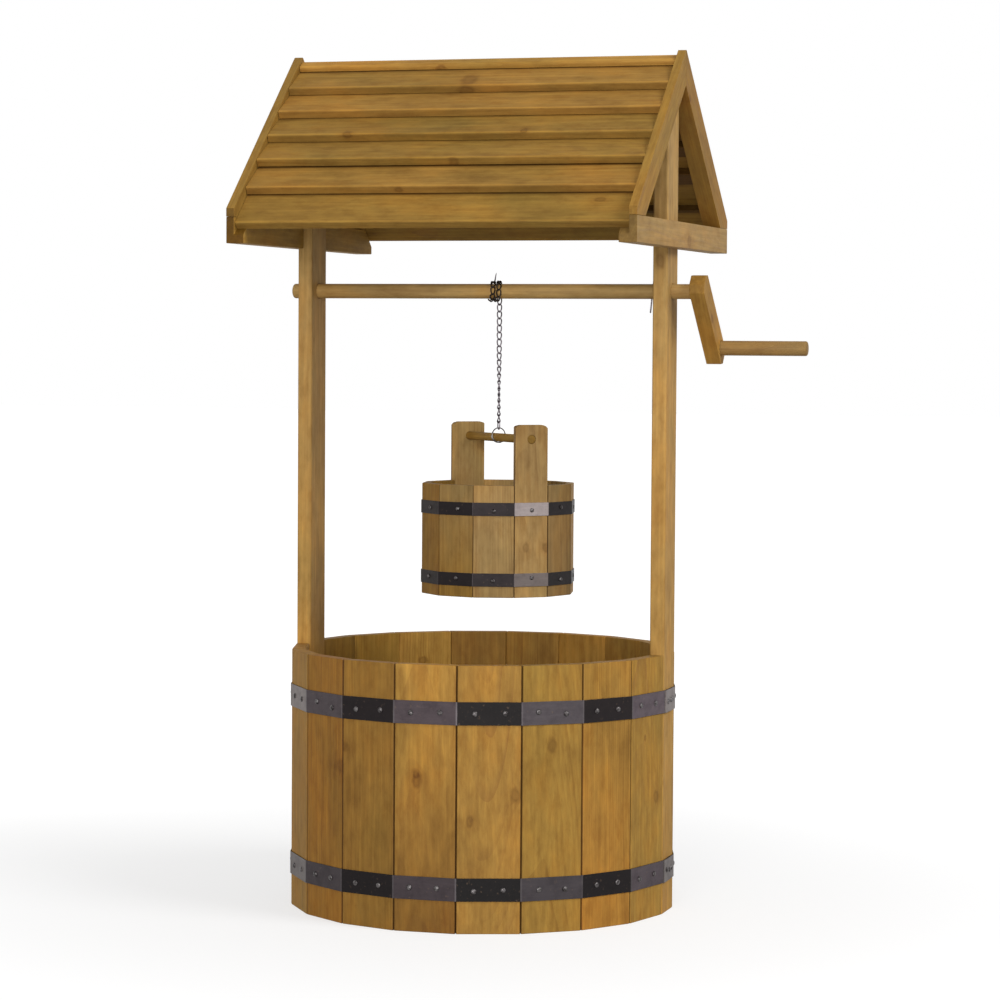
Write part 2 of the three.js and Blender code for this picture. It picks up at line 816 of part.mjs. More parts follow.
function bucketBand(base) {
  const inner = offsetOutline(bucketOutline(), seatGap);
  const outer = offsetOutline(bucketOutline(), seatGap + bucketBandThickness);
  return hang(bandOf(outer, inner, bucketBase + base, bucketBandWidth));
}

// The assembly

const planter = new THREE.Group();

function addPiece(name, geometry, material) {
  const mesh = new THREE.Mesh(geometry, material);
  mesh.name = name;
  planter.add(mesh);
}

function addTub() {
  for (let side = 0; side < 2; side += 1) {
    for (let index = 0; index < stavesPerSide; index += 1) {
      addPiece(`tub_stave_${side * stavesPerSide + index + 1}`, tubStave(side, index), stavePine);
    }
  }
  addPiece('post_right', post(1), postPine);
  addPiece('post_left', post(-1), postPine);
  addPiece('tub_band_lower', tubBand(lowerBandBase), bandSteel);
  addPiece('tub_band_upper', tubBand(upperBandBase), bandSteel);
  addPiece('floor_bearer', floorBearer(), floorPine);
  addPiece('floor_panel_front', floorPanel(-1), floorPine);
  addPiece('floor_panel_back', floorPanel(1), floorPine);
}

function addRoof() {
  for (const [sideName, side] of [['front', -1], ['back', 1]]) {
    for (let index = 0; index < boardsPerSlope; index += 1) {
      addPiece(`roof_board_${sideName}_${index + 1}`, roofBoard(side, index), roofPine);
    }
    for (const [endName, end] of [['right', 1], ['left', -1]]) {
      addPiece(`rafter_${endName}_${sideName}`, rafter(end, side), postPine);
    }
  }
  addPiece('ridge_cap', ridgeCap(), roofPine);
  addPiece('gable_tie_right', gableTie(1), postPine);
  addPiece('gable_tie_left', gableTie(-1), postPine);
}

function addWindlass() {
  addPiece('roller', roller(), roofPine);
  addPiece('crank_arm', crankArm(), roofPine);
  addPiece('crank_handle', crankHandle(), roofPine);
  addPiece('wound_chain', woundChain(), chainSteel);
}

function addBucket() {
  addPiece('hanging_chain', hangingChain(), chainSteel);
  addPiece('swivel_chain', swivelChain(), chainSteel);
  addPiece('chain_end_link', endLink(), chainSteel);
  addPiece('bucket_ring', bucketRing(), chainSteel);
  addPiece('bucket_dowel', bucketDowel(), postPine);
  addPiece('bucket_handle_stave_front', handleStave(1), stavePine);
  addPiece('bucket_handle_stave_back', handleStave(-1), stavePine);
  addPiece('bucket_staves_right', bucketStaves(0), stavePine);
  addPiece('bucket_staves_left', bucketStaves(1), stavePine);
  addPiece('bucket_bottom', bucketBottom(), floorPine);
  addPiece('bucket_band_lower', bucketBand(lowerBucketBandBase), bandSteel);
  addPiece('bucket_band_upper', bucketBand(upperBucketBandBase), bandSteel);
}

addTub();
addRoof();
addWindlass();
addBucket();

export default planter;
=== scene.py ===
import math
from collections import namedtuple

import bmesh
import bpy
import numpy as np
from mathutils import Matrix, Vector


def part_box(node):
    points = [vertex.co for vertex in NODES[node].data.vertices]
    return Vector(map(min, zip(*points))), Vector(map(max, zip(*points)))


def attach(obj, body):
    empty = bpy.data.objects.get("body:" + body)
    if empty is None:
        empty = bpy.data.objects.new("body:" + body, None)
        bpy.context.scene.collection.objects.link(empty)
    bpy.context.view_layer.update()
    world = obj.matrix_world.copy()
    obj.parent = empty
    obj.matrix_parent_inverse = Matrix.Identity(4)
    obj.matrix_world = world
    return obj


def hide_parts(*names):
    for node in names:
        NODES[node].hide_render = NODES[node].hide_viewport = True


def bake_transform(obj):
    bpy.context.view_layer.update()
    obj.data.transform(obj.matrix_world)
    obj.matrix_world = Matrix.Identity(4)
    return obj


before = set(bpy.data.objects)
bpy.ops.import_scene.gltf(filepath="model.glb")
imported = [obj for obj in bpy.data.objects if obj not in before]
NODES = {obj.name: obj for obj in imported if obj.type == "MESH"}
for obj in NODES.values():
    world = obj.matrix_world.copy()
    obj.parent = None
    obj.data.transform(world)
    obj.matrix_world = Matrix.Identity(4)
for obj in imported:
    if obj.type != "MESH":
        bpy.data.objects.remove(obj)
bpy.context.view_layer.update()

X, _, Z = np.eye(3)


def screen(red, green, blue):
    """A colour given by its screen values from 0 to 255, as the linear light that shaders work in."""
    share = np.array([red, green, blue]) / 255
    return tuple(np.where(share > 0.04045, ((share + 0.055) / 1.055) ** 2.4, share / 12.92))


# -------- meshes


def join_rings(grids, looped):
    """Faces for n grids of rings, each ring closed on itself. A face joins point j and j + 1 of one ring to the same
    two of the next. A looped grid's last ring meets its first; any other is closed with one face at each end."""
    count, rings, sides = grids.shape[:3]
    ids = np.arange(count * rings * sides).reshape(count, rings, sides)
    beside = np.roll(ids, -1, axis=2)
    after, after_beside = np.roll(ids, -1, axis=1), np.roll(beside, -1, axis=1)
    last = rings if looped else rings - 1
    quads = np.stack([ids, beside, after_beside, after], axis=-1)[:, :last].reshape(-1, 4)
    caps = np.empty((0, sides), int) if looped else np.concatenate([ids[:, 0, ::-1], ids[:, -1]])
    return quads, caps


def surface(name, grids, looped=False):
    """One mesh of n closed shapes from their grids of points, (n, rings, points in a ring, 3). The volume under the
    quads, a sixth of the sum of each triangle's triple product, is negative where they face inwards, and then every
    face is turned round."""
    grids = np.asarray(grids, float)
    quads, caps = join_rings(grids, looped)
    points = grids.reshape(-1, 3)
    middles = np.repeat(grids.mean(axis=(1, 2)), grids.shape[1] * grids.shape[2], axis=0)
    a, b, c, d = np.moveaxis((points - middles)[quads], 1, 0)
    volume = (np.cross(a, b) * c).sum() + (np.cross(a, c) * d).sum()
    if volume < 0:
        quads, caps = quads[:, ::-1], caps[:, ::-1]
    mesh = bpy.data.meshes.new(name)
    mesh.from_pydata(points, [], quads.tolist() + caps.tolist())
    mesh.polygons.foreach_set("use_smooth", np.arange(len(mesh.polygons)) < len(quads))
    return mesh


def put_in_scene(name, data):
    piece = bpy.data.objects.new(name, data)
    bpy.context.scene.collection.objects.link(piece)
    return piece


def put_on(mesh, material, body, slot, *nodes):
    """Puts a piece in the scene under its mesh's name, on its body if it isn't blended between two, and over the nodes
    that it covers, if any."""
    mesh.materials.append(material)
    piece = put_in_scene(mesh.name, mesh)
    if body:
        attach(piece, body)
    if nodes:
        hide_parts(*nodes)
    return piece


def unit(values):
    """Vectors made one long."""
    return values / np.linalg.norm(values, axis=-1, keepdims=True)


def square_to(values, axes):
    """Vectors less their share along unit axes, made one long."""
    return unit(values - (values * axes).sum(axis=-1, keepdims=True) * axes)


def circle(sides, first, second):
    """Points round unit circles: cos t times one direction plus sin t times another that is square to it."""
    turn = np.linspace(0, 2 * np.pi, sides, endpoint=False)[:, None]
    return np.cos(turn) * first[..., None, :] + np.sin(turn) * second[..., None, :]


def level(angle):
    """The level directions at angles from the right towards the back."""
    return np.stack([np.cos(angle), np.sin(angle), 0 * angle], axis=-1)


def leaning(degrees):
    """The direction that leans to the right from upright."""
    return np.array([math.sin(math.radians(degrees)), 0, math.cos(math.radians(degrees))])


def tube(path, radius, sides, normal, closed=True):
    """Rings about a path. Each ring is a circle in the plane of two directions square to the path: the given normal
    less its share along the path, and that crossed with the path. The path's direction at a point is from the point
    before it to the point after it."""
    ahead = unit(np.roll(path, -1, axis=-2) - np.roll(path, 1, axis=-2) if closed else np.gradient(path, axis=-2))
    normal = square_to(normal, ahead)
    return path[..., None, :] + radius * circle(sides, normal, np.cross(ahead, normal))


def turned(profile, axis, start, sides):
    """Rings of a turned shape. At each (distance along, radius) of the profile, a ring lies square to the axis: the
    start, plus distance times axis, plus radius times (cos t, sin t) on two directions square to the axis."""
    axis, profile = unit(np.asarray(axis, float)), np.asarray(profile, float)
    across = unit(np.cross(axis, Z if abs(axis[2]) < 0.9 else X))
    ring = circle(sides, across, np.cross(axis, across))
    return start + profile[:, 0, None, None] * axis + profile[:, 1, None, None] * ring


def rounded_bar(length, radius, rounding, steps=5):
    """The profile of a bar with rounded ends: at each end a quarter circle of the rounding, and a straight side."""
    angle = np.linspace(0, np.pi / 2, steps)
    along = rounding * (1 - np.cos(angle))
    out = radius - rounding + rounding * np.sin(angle)
    centre = [(0, 0.25 * (radius - rounding))]
    start = list(zip(along, out))
    return centre + start + [(length - x, r) for x, r in reversed(start)] + [(length, centre[0][1])]


# -------- boards

# A board's tone and how light it is, each for its foot and its head where they differ, and where it was cut from its
# tree: how far to the side of the pith and how deep outside it its middle lay, how high up the trunk, and how much it
# leans across and away from the trunk. Then its knots, each by its place across and along the board from its middle
# and its radius, and how dark its ends are: end grain, darker still on some frame boards as painted shade.
Cut = namedtuple("Cut", "tone light aside deep high lean away knots ends", defaults=(1.0,))
NO_KNOT = (1, 0, 9, 0)
KNOT_PLACES = 2
EDGE_ROUNDING = 0.0008
SAME_POINT, SAME_LINE, SAME_PLANE_DEGREES = 1e-6, 0.001, 0.5
UPWARDS = 0.05

TONES = {
    "honey": screen(165, 125, 57),
    "olive": screen(150, 116, 51),
    "orange": screen(173, 124, 51),
    "pale": screen(183, 149, 93),
    "brown": screen(134, 99, 43),
}


def vectors(items, key):
    """A vector that each point or face of a mesh has, as an array with a row for each."""
    values = np.empty(len(items) * 3)
    items.foreach_get(key, values)
    return values.reshape(-1, 3)


def mesh_points(mesh):
    return vectors(mesh.vertices, "co")


def made_flat(shape, name):
    """A mesh from a bmesh, with flat faces."""
    for face in shape.faces:
        face.smooth = False
    mesh = bpy.data.meshes.new(name)
    shape.to_mesh(mesh)
    shape.free()
    return mesh


def round_edges(shape, width, least_degrees=25, most_degrees=180):
    """Rounds every edge whose faces turn by an angle in a range."""
    least, most = math.radians(least_degrees), math.radians(most_degrees)
    chosen = [edge for edge in shape.edges if edge.is_manifold and least < edge.calc_face_angle(0) < most]
    bmesh.ops.bevel(
        shape, geom=chosen, offset=width, offset_type="OFFSET", segments=2, profile=0.5,
        affect="EDGES", clamp_overlap=True,
    )


def whole_faces(node, middle=None):
    """A node's shape with its loose triangles merged and its flat faces made whole. In a ring about a middle, the
    edges that point away from the middle stay, so that no face goes round it."""
    shape = bmesh.new()
    shape.from_mesh(NODES[node].data)
    bmesh.ops.remove_doubles(shape, verts=shape.verts, dist=SAME_POINT)
    if middle is not None:
        for edge in shape.edges:
            first, second = (end.co.xy - Vector(middle[:2]) for end in edge.verts)
            edge.seam = abs(first.cross(second)) < SAME_LINE * first.length * second.length
    bmesh.ops.dissolve_limit(
        shape, angle_limit=math.radians(SAME_PLANE_DEGREES), verts=shape.verts, edges=shape.edges, delimit={"SEAM"},
    )
    return shape


def eased(node):
    """A node's shape with its edges rounded, and the directions of its longest edge and its largest face from before
    the rounding."""
    shape = whole_faces(node)
    longest = max(shape.edges, key=lambda edge: edge.calc_length())
    along = np.array(longest.verts[1].co - longest.verts[0].co)
    face = np.array(max(shape.faces, key=lambda face: face.calc_area()).normal)
    round_edges(shape, EDGE_ROUNDING)
    mesh = made_flat(shape, node + "_wood")
    return mesh, unit(along), face


def board_axes(middle, along, face):
    """A board's three directions: along its grain, upwards or to the right; out through its face, away from the
    object's upright axis or, on that axis, upwards; and across."""
    along = along * np.sign(along[np.abs(along).argmax()])
    face = square_to(face, along)
    outward = middle * (1, 1, 0) + UPWARDS * Z
    face = face * (1 if face @ outward >= 0 else -1)
    return along, face, np.cross(along, face)


def set_on(mesh, name, kind, values, domain="POINT"):
    attribute = mesh.attributes.new(name, kind, domain)
    key = "color" if kind == "FLOAT_COLOR" else "vector" if kind == "FLOAT_VECTOR" else "value"
    attribute.data.foreach_set(key, np.ascontiguousarray(values, np.float32).ravel())


def trunk_places(points, middle, axes, cut):
    """Where points of a board lay in its tree: across the trunk and out from its pith, and up it. Each is the
    distance from the board's middle along its own direction, plus the place that it was cut from, and the first two
    slope with the distance along the board."""
    along, face, across = axes
    u, w, v = (points - middle) @ across, (points - middle) @ face, (points - middle) @ along
    return np.stack([cut.aside + u + cut.lean * v, cut.deep + w + cut.away * v, cut.high + v], axis=-1)


def pair(value):
    """A pair as it is, and any other value twice."""
    return value if isinstance(value, tuple) else (value, value)


def no_edges(down):
    """For a board with no edge that its finish shades."""
    return np.tile((0.0, 1.0, 1.0), (len(down), 1))


def stave_edges(down):
    """For a stave: the share of its half width that each point lies from its middle."""
    return np.column_stack([np.abs(down) / np.abs(down).max(), np.ones((len(down), 2))])


def lapped_edges(covered):
    """For a roof board: how far each point lies below the board that laps over it, and above its own lower edge."""
    return lambda down: np.column_stack([0 * down, down - down.min() - covered, down.max() - down])


def grain(mesh, middle, axes, cut, edges=no_edges, chosen=slice(None)):
    """The values that the wood finish reads, for the chosen points: the place in the trunk, the tone, the edges, and
    for each knot the direction of its branch from the pith, its height and its radius."""
    points = mesh_points(mesh)[chosen]
    rows = len(points)
    down = (points - middle) @ axes[2] * (-1 if axes[2][2] > 0 else 1)
    along = points @ axes[0]
    foot, head = [np.array(TONES[name]) * light for name, light in zip(pair(cut.tone), pair(cut.light))]
    share = ((along - along.min()) / np.ptp(along))[:, None]
    tone = np.column_stack([foot + share * (head - foot), np.ones(rows)])
    knots = []
    for across, up, radius in cut.knots:
        place = (cut.aside + across + cut.lean * up, cut.deep + cut.away * up)
        reach = math.hypot(*place)
        knots.append((place[0] / reach, place[1] / reach, cut.high + up, radius))
    knots += [NO_KNOT] * (KNOT_PLACES - len(knots))
    knots = [np.tile(knot, (rows, 1)) for knot in knots]
    return trunk_places(points, middle, axes, cut), tone, edges(down), knots


def ends(mesh, along):
    """Each face's share of end grain: how far it faces along the board, from 0 below a third to 1 above two."""
    return np.clip(3 * np.abs(vectors(mesh.polygons, "normal") @ along) - 1, 0, 1)


def dress(mesh, grains, along, body, slot, node, dark_ends=1.0):
    """Puts a wooden piece in the scene with its grain, on its body and over its node."""
    places, tones, edges, knots = grains
    set_on(mesh, "trunk", "FLOAT_VECTOR", places)
    set_on(mesh, "tone", "FLOAT_COLOR", tones)
    set_on(mesh, "edges", "FLOAT_VECTOR", edges)
    set_on(mesh, "knot", "FLOAT_COLOR", knots[0])
    set_on(mesh, "knot_beside", "FLOAT_COLOR", knots[1])
    set_on(mesh, "end_grain_and_shade", "FLOAT", ends(mesh, along) * dark_ends, "FACE")
    put_on(mesh, FINISHES[slot], body, slot, node)


def board(node, body, slot, cut, edges=no_edges):
    """A single board over its node, cut from its own place in a tree."""
    mesh, along, face = eased(node)
    middle = mesh_points(mesh).mean(axis=0)
    axes = board_axes(middle, along, face)
    dress(mesh, grain(mesh, middle, axes, cut, edges), axes[0], body, slot, node, cut.ends)


def chance_cuts(seed, count, tones, length):
    """Cuts for boards that nothing in particular shows on: a tone, a lightness, a place in the trunk and up to two
    knots, from a seeded generator."""
    dice = np.random.default_rng(seed)
    cuts = []
    for _ in range(count):
        sawn_through_pith = dice.random() < 0.4
        aside = dice.uniform(0.05, 0.11) * dice.choice([-1, 1]) if sawn_through_pith else dice.uniform(-0.02, 0.02)
        deep = dice.uniform(0.015, 0.05) if sawn_through_pith else dice.uniform(0.04, 0.1)
        knots = [
            (dice.uniform(-0.026, 0.026), dice.uniform(-0.4, 0.4) * length, dice.uniform(0.0015, 0.004))
            for _ in range(dice.integers(0, KNOT_PLACES + 1))
        ]
        cuts.append(Cut(
            str(dice.choice(tones)), dice.uniform(0.9, 1.08), aside, deep, dice.uniform(0, 40),
            dice.uniform(-0.012, 0.012), dice.uniform(-0.05, 0.05), knots,
        ))
    return cuts


# -------- finishes


class Value:
    """A shader socket that Python's operators work on. Each operator adds its Math node, and a number beside it is
    set on that node's own socket."""

    def __init__(self, finish, socket):
        self.finish, self.socket = finish, socket

    def maths(self, operation, *others):
        return self.finish.maths(operation, self, *others)

    def beside(self, name):
        """Another output of the same node."""
        return Value(self.finish, self.socket.node.outputs[name])

    def __add__(self, other):
        return self.maths("ADD", other)

    def __sub__(self, other):
        return self.maths("SUBTRACT", other)

    def __rsub__(self, other):
        return self.finish.maths("SUBTRACT", other, self)

    def __mul__(self, other):
        return self.maths("MULTIPLY", other)

    def __truediv__(self, other):
        return self.maths("DIVIDE", other)

    def __rtruediv__(self, other):
        return self.finish.maths("DIVIDE", other, self)

    def __pow__(self, other):
        return self.maths("POWER", other)

    __radd__, __rmul__ = __add__, __mul__

    def ramp(self, low, high):
        """0 at low, 1 at high, and smooth between them. High may be the lower."""
        settings = {"interpolation_type": "SMOOTHSTEP"}
        return self.finish.node("ShaderNodeMapRange", settings, {"Value": self, "From Min": low, "From Max": high})


class Finish:
    """A material whose nodes are made from Python expressions."""

    def __init__(self, name):
        self.material = bpy.data.materials.new(name)
        self.material.use_nodes = True
        self.tree = self.material.node_tree
        self.shader = self.tree.nodes["Principled BSDF"]

    def node(self, kind, settings=(), sockets=(), output=0):
        """Adds a node: its settings first, then a value or a link for each socket named or numbered."""
        node = self.tree.nodes.new(kind)
        for name, value in dict(settings).items():
            setattr(node, name, value)
        for name, value in dict(sockets).items():
            self.feed(node.inputs[name], value)
        return Value(self, node.outputs[output])

    def feed(self, socket, value):
        if isinstance(value, Value):
            self.tree.links.new(value.socket, socket)
        elif socket.type == "RGBA" and len(value) == 3:
            socket.default_value = (*value, 1)
        else:
            socket.default_value = value

    def maths(self, operation, *values):
        return self.node("ShaderNodeMath", {"operation": operation}, dict(enumerate(values)))

    def attribute(self, name, output):
        return self.node("ShaderNodeAttribute", {"attribute_name": name}, output=output)

    def parts(self, vector):
        x = self.node("ShaderNodeSeparateXYZ", sockets={0: vector})
        return x, x.beside("Y"), x.beside("Z")

    def scaled(self, vector, scale):
        return self.node("ShaderNodeVectorMath", {"operation": "MULTIPLY"}, {0: vector, 1: scale})

    def noise(self, vector, scale, detail=2.0, roughness=0.5, output="Fac"):
        sockets = {"Vector": vector, "Scale": scale, "Detail": detail, "Roughness": roughness}
        return self.node("ShaderNodeTexNoise", sockets=sockets, output=output)

    def mix(self, factor, first, second, blend="MIX"):
        settings = {"data_type": "RGBA", "blend_type": blend}
        return self.node("ShaderNodeMix", settings, {0: factor, 6: first, 7: second}, output=2)

    def bump(self, height, distance, strength):
        return self.node("ShaderNodeBump", sockets={"Height": height, "Distance": distance, "Strength": strength})

    def done(self, **inputs):
        for name, value in inputs.items():
            self.feed(self.shader.inputs[name.replace("_", " ")], value)
        return self.material


def wood(name, ring=0.0036, latewood=0.5, weathered=0.4, roughness=0.6, seams=0.0, laps=0.0):
    """Stained softwood as a solid block of tree. The growth rings are the distance from the pith over the ring
    width, bent by a slow wander and pushed out round each knot. A ring darkens slowly to its latewood and starts
    again pale, and the rings fade in and out. Fine fibres and blotches are noise drawn out along the trunk. The tone
    is then tinted in layers. Seams and laps set the painted shade and painted highlights: on a stave a painted
    highlight along each edge and a painted shadow in the seam beside the next stave, and on a roof board a painted
    highlight along its lower edge, painted shade on its end and a painted shadow under the board above."""
    finish = Finish(name)
    place = finish.attribute("trunk", "Vector")
    tone = finish.attribute("tone", "Color")
    end = finish.attribute("end_grain_and_shade", "Fac")

    def drawn_out(share, *settings, **output):
        """Noise that changes along the trunk by only a share of what it does across it."""
        return finish.noise(finish.scaled(place, (1, 1, share)), *settings, **output)

    wander_reach, ragged_reach = 0.016, 0.004
    wander_x, wander_y, wander_r = finish.parts(drawn_out(0.22, 17.0, 1.0, output="Color"))
    ragged = drawn_out(0.5, 190.0)
    x, y, z = finish.parts(place)
    x_bent = x + (wander_x - 0.5) * wander_reach
    y_bent = y + (wander_y - 0.5) * wander_reach
    radius = (x_bent * x_bent + y_bent * y_bent) ** 0.5

    push, core, rim, branch = 0.0, 0.0, 0.0, 0.0
    for attribute in ("knot", "knot_beside"):
        branch_x, branch_y, branch_z = finish.parts(finish.attribute(attribute, "Vector"))
        size = finish.attribute(attribute, "Alpha")
        beside = x * branch_y - y * branch_x
        above = (z - branch_z) * 0.62
        outward = (x * branch_x + y * branch_y).maths("GREATER_THAN", 0.0)
        distance = (beside * beside + above * above) ** 0.5 + (ragged - 0.5) * ragged_reach
        away = distance / size.maths("MAXIMUM", 0.0001)
        real = size.maths("GREATER_THAN", 0.0005) * outward
        push = (away * away * -0.28).maths("EXPONENT") * size * real * 1.5 + push
        core = away.ramp(1.4, 0.3) * real + core
        rim = away.ramp(0.4, 1.0) * away.ramp(1.9, 1.0) * real + rim
        branch = away.ramp(4.0, 1.0) * real + branch

    rings = (radius - push) / ring + wander_r * 2.4
    year = rings.maths("FLOOR")
    vigour = finish.node("ShaderNodeTexWhiteNoise", {"noise_dimensions": "1D"}, {"W": year})
    late = rings.maths("FRACT").ramp(0.3, 0.95) * (vigour * 0.85 + 0.15) * (wander_x.ramp(0.36, 0.6) * 0.8 + 0.2)

    fibres = drawn_out(0.018, 1100.0, 3.0, 0.6)
    streaks = drawn_out(0.035, 210.0)
    blotches = drawn_out(0.4, 21.0, 3.0, 0.6)
    stain = drawn_out(0.55, 9.0)
    mottles = drawn_out(0.45, 75.0, 4.0, 0.65)

    side, below_lap, above_edge = finish.parts(finish.attribute("edges", "Vector"))
    layers = [
        (blotches.ramp(0.42, 0.68), 0.62, (1.16, 1.02, 0.8)),
        (blotches.ramp(0.48, 0.3), 0.6, (0.76, 0.73, 0.7)),
        (stain.ramp(0.46, 0.7), weathered, (0.66, 0.76, 0.74)),
        (late, latewood, (0.6, 0.48, 0.36)),
        (streaks.ramp(0.35, 0.7), 0.44, (0.7, 0.63, 0.54)),
        (streaks.ramp(0.45, 0.25), 0.4, (1.25, 1.23, 1.16)),
        (fibres.ramp(0.35, 0.75), 0.24, (0.7, 0.62, 0.52)),
        (mottles.ramp(0.45, 0.7), 0.54, (0.72, 0.64, 0.54)),
        (mottles.ramp(0.5, 0.3), 0.5, (1.2, 1.17, 1.12)),
        (branch, 0.3, (0.8, 0.68, 0.54)),
        (core, 0.5, (0.54, 0.47, 0.42)),
        (rim, 0.45, (0.46, 0.38, 0.32)),
        # End grain is darker; on some frame boards it is much darker, as painted shade on their ends.
        (end, 0.25, (0.32, 0.265, 0.06)),
    ]
    # Painted highlight along each stave edge, and painted shadow in the seam beside the next stave.
    if seams:
        layers += [
            (side.ramp(0.91, 0.955), 0.42, (1.3, 1.3, 1.28)),
            (side.ramp(0.972, 0.99), seams, (0.2, 0.14, 0.09)),
        ]
    # Painted highlight along a roof board's lower edge, painted shade on its end, and painted shadow under the board
    # that laps over it.
    if laps:
        layers += [
            (above_edge.ramp(0.0042, 0.0028) * above_edge.ramp(0.0002, 0.0012), 0.62 * laps, (1.4, 1.36, 1.28)),
            (above_edge.ramp(0.0008, 0.0001), 0.5 * laps, (0.6, 0.56, 0.5)),
            (below_lap.ramp(0.008, 0.001), 0.6 * laps, (0.5, 0.45, 0.36)),
            (below_lap.ramp(0.0022, 0.0), laps, (0.3, 0.24, 0.16)),
        ]
    colour = tone
    for mask, strength, tint in layers:
        colour = finish.mix(mask * strength, colour, tint, "MULTIPLY")

    rough = roughness + fibres * 0.16 - late * 0.12
    height = late * 0.5 + fibres * 0.6 + core * 0.4
    return finish.done(
        Base_Color=colour, Roughness=rough, Specular_IOR_Level=0.2, Normal=finish.bump(height, 0.00022, 0.7),
    )


# Steel tones. Their differences from facet to facet are painted reflections, and the tone of the bends is a painted
# highlight.
STEEL_TONES_AND_REFLECTIONS = {
    "black": screen(13, 8, 8),
    "dark": screen(25, 18, 19),
    "grey": screen(66, 57, 60),
    "cool": screen(75, 69, 72),
    "blued": screen(83, 71, 77),
    "light": screen(106, 97, 94),
    "bright": screen(148, 138, 136),
    "bend_highlight": screen(86, 80, 82),
}


def strip_steel(name):
    """Thin rolled steel strip, bent flat over each stave. Each face has its own tone, which is mostly a painted
    reflection, with a painted highlight on its bends, under mottled scale and specks of rust."""
    finish = Finish(name)
    place = finish.node("ShaderNodeTexCoord", output="Object")
    tone = finish.attribute("tone", "Color")
    rolled = finish.noise(finish.scaled(place, (1, 1, 9)), 30.0, 3.0, 0.65)
    scale = finish.noise(place, 55.0, 4.0, 0.7)
    spots = finish.noise(place, 240.0, 2.0)
    colour = finish.mix(scale.ramp(0.4, 0.75) * 0.6, tone, (0.55, 0.52, 0.55), "MULTIPLY")
    colour = finish.mix(rolled.ramp(0.45, 0.75) * 0.4, colour, (1.4, 1.4, 1.38), "MULTIPLY")
    colour = finish.mix(spots.ramp(0.64, 0.76) * 0.25, colour, screen(112, 92, 74))
    rough = 0.42 + scale * 0.18
    return finish.done(
        Base_Color=colour, Roughness=rough, Metallic=0.7, Normal=finish.bump(scale + spots * 0.4, 0.0002, 0.6),
    )


def round_steel(name, light, dark, roughness):
    """Drawn steel wire and nails: a light grey rubbed through a dark one in patches."""
    finish = Finish(name)
    place = finish.node("ShaderNodeTexCoord", output="Object")
    patches = finish.noise(place, 260.0, 3.0, 0.6)
    colour = finish.mix(patches.ramp(0.38, 0.62), dark, light)
    rough = roughness + patches * 0.2
    return finish.done(Base_Color=colour, Roughness=rough, Metallic=0.85, Normal=finish.bump(patches, 0.0001, 0.4))


FINISHES = {
    "stave_wood": wood("stave_wood", seams=0.8),
    "frame_wood": wood("frame_wood", ring=0.0031, latewood=0.36, weathered=0.25),
    "roof_wood": wood("roof_wood", ring=0.0034, latewood=0.42, weathered=0.5, roughness=0.66, laps=0.8),
    "floor_wood": wood("floor_wood", latewood=0.6, weathered=0.6, roughness=0.75),
}

# -------- tub

STAVES_A_SIDE = 9
POST_DEGREES = 6.5
STAVE_DEGREES = (180 - 2 * POST_DEGREES) / STAVES_A_SIDE

tub_cuts = {
    1: Cut("olive", 1.1, 0.08, 0.016, 24.9, -0.003, 0.001, []),
    2: Cut("olive", 1.1, -0.009, 0.048, 20.5, 0.008, 0.005, []),
    3: Cut("honey", 0.86, -0.012, 0.073, 11.1, -0.01, 0.04, [(-0.0138, 0.08, 0.0037)]),
    4: Cut("honey", 1.08, -0.014, 0.08, 8.7, -0.011, -0.03, []),
    5: Cut("honey", 0.9, -0.078, 0.047, 18.4, 0.005, -0.045, []),
    6: Cut("honey", 0.75, -0.101, 0.026, 18.7, -0.009, 0.024, [(-0.0095, 0.108, 0.003)]),
    7: Cut("honey", 1.4, -0.054, 0.036, 19.7, 0.008, -0.028, [(-0.0212, 0.13, 0.0022)]),
    8: Cut("olive", 1.35, -0.065, 0.048, 33.8, 0.006, 0.005, [(-0.0083, 0.12, 0.0023)]),
    9: Cut("olive", 1.1, 0.008, 0.087, 31.5, 0.009, 0.026, []),
    10: Cut("honey", 0.95, 0.07, 0.03, 3.1, 0.004, 0.02, []),
    11: Cut("honey", 0.9, 0.09, 0.03, 7.7, 0.004, 0.02, []),
    12: Cut("orange", 0.7, 0.085, 0.03, 12.4, -0.006, 0.02, [(0.0235, 0.033, 0.004)]),
    13: Cut("brown", 1.14, -0.1, 0.035, 15.2, 0.005, 0.03, [(-0.024, 0.058, 0.003)]),
    14: Cut(
        ("orange", "honey"), (0.5, 1.16), 0.012, 0.075, 21.3, 0.004, 0.05,
        [(-0.0105, 0.022, 0.0045), (-0.012, 0.03, 0.0028)],
    ),
    15: Cut("honey", 0.88, 0.006, 0.062, 25.6, 0.01, -0.09, [(0.03, 0.006, 0.0042), (-0.022, -0.027, 0.0035)]),
    16: Cut("olive", 0.96, 0.02, 0.066, 31.9, 0.012, 0.07, [(-0.002, 0.0684, 0.0042)]),
    17: Cut(("orange", "honey"), 0.86, -0.088, 0.03, 36.3, 0.004, 0.01, []),
    18: Cut("olive", 1.06, 0.02, 0.075, 41.0, 0.008, 0.04, [(0.0203, -0.013, 0.004), (-0.007, 0.0665, 0.002)]),
}
for number, cut in tub_cuts.items():
    board(f"tub_stave_{number}", "frame", "stave_wood", cut, stave_edges)

post_tones = ("honey", "pale")
right_cut = Cut(post_tones, (1.24, 1.0), -0.09, 0.006, 5.0, 0.001, 0.0, [(-0.029, 0.174, 0.0045)])
board("post_right", "frame", "frame_wood", right_cut)
board("post_left", "frame", "frame_wood", Cut(post_tones, (1.3, 1.0), 0.09, 0.006, 9.4, 0.001, 0.0, []))

floor_cuts = chance_cuts(5, 3, ["brown", "olive"], 0.4)
for node, cut in zip(["floor_panel_front", "floor_panel_back", "floor_bearer"], floor_cuts):
    board(node, "frame", "floor_wood", cut)

# -------- roof

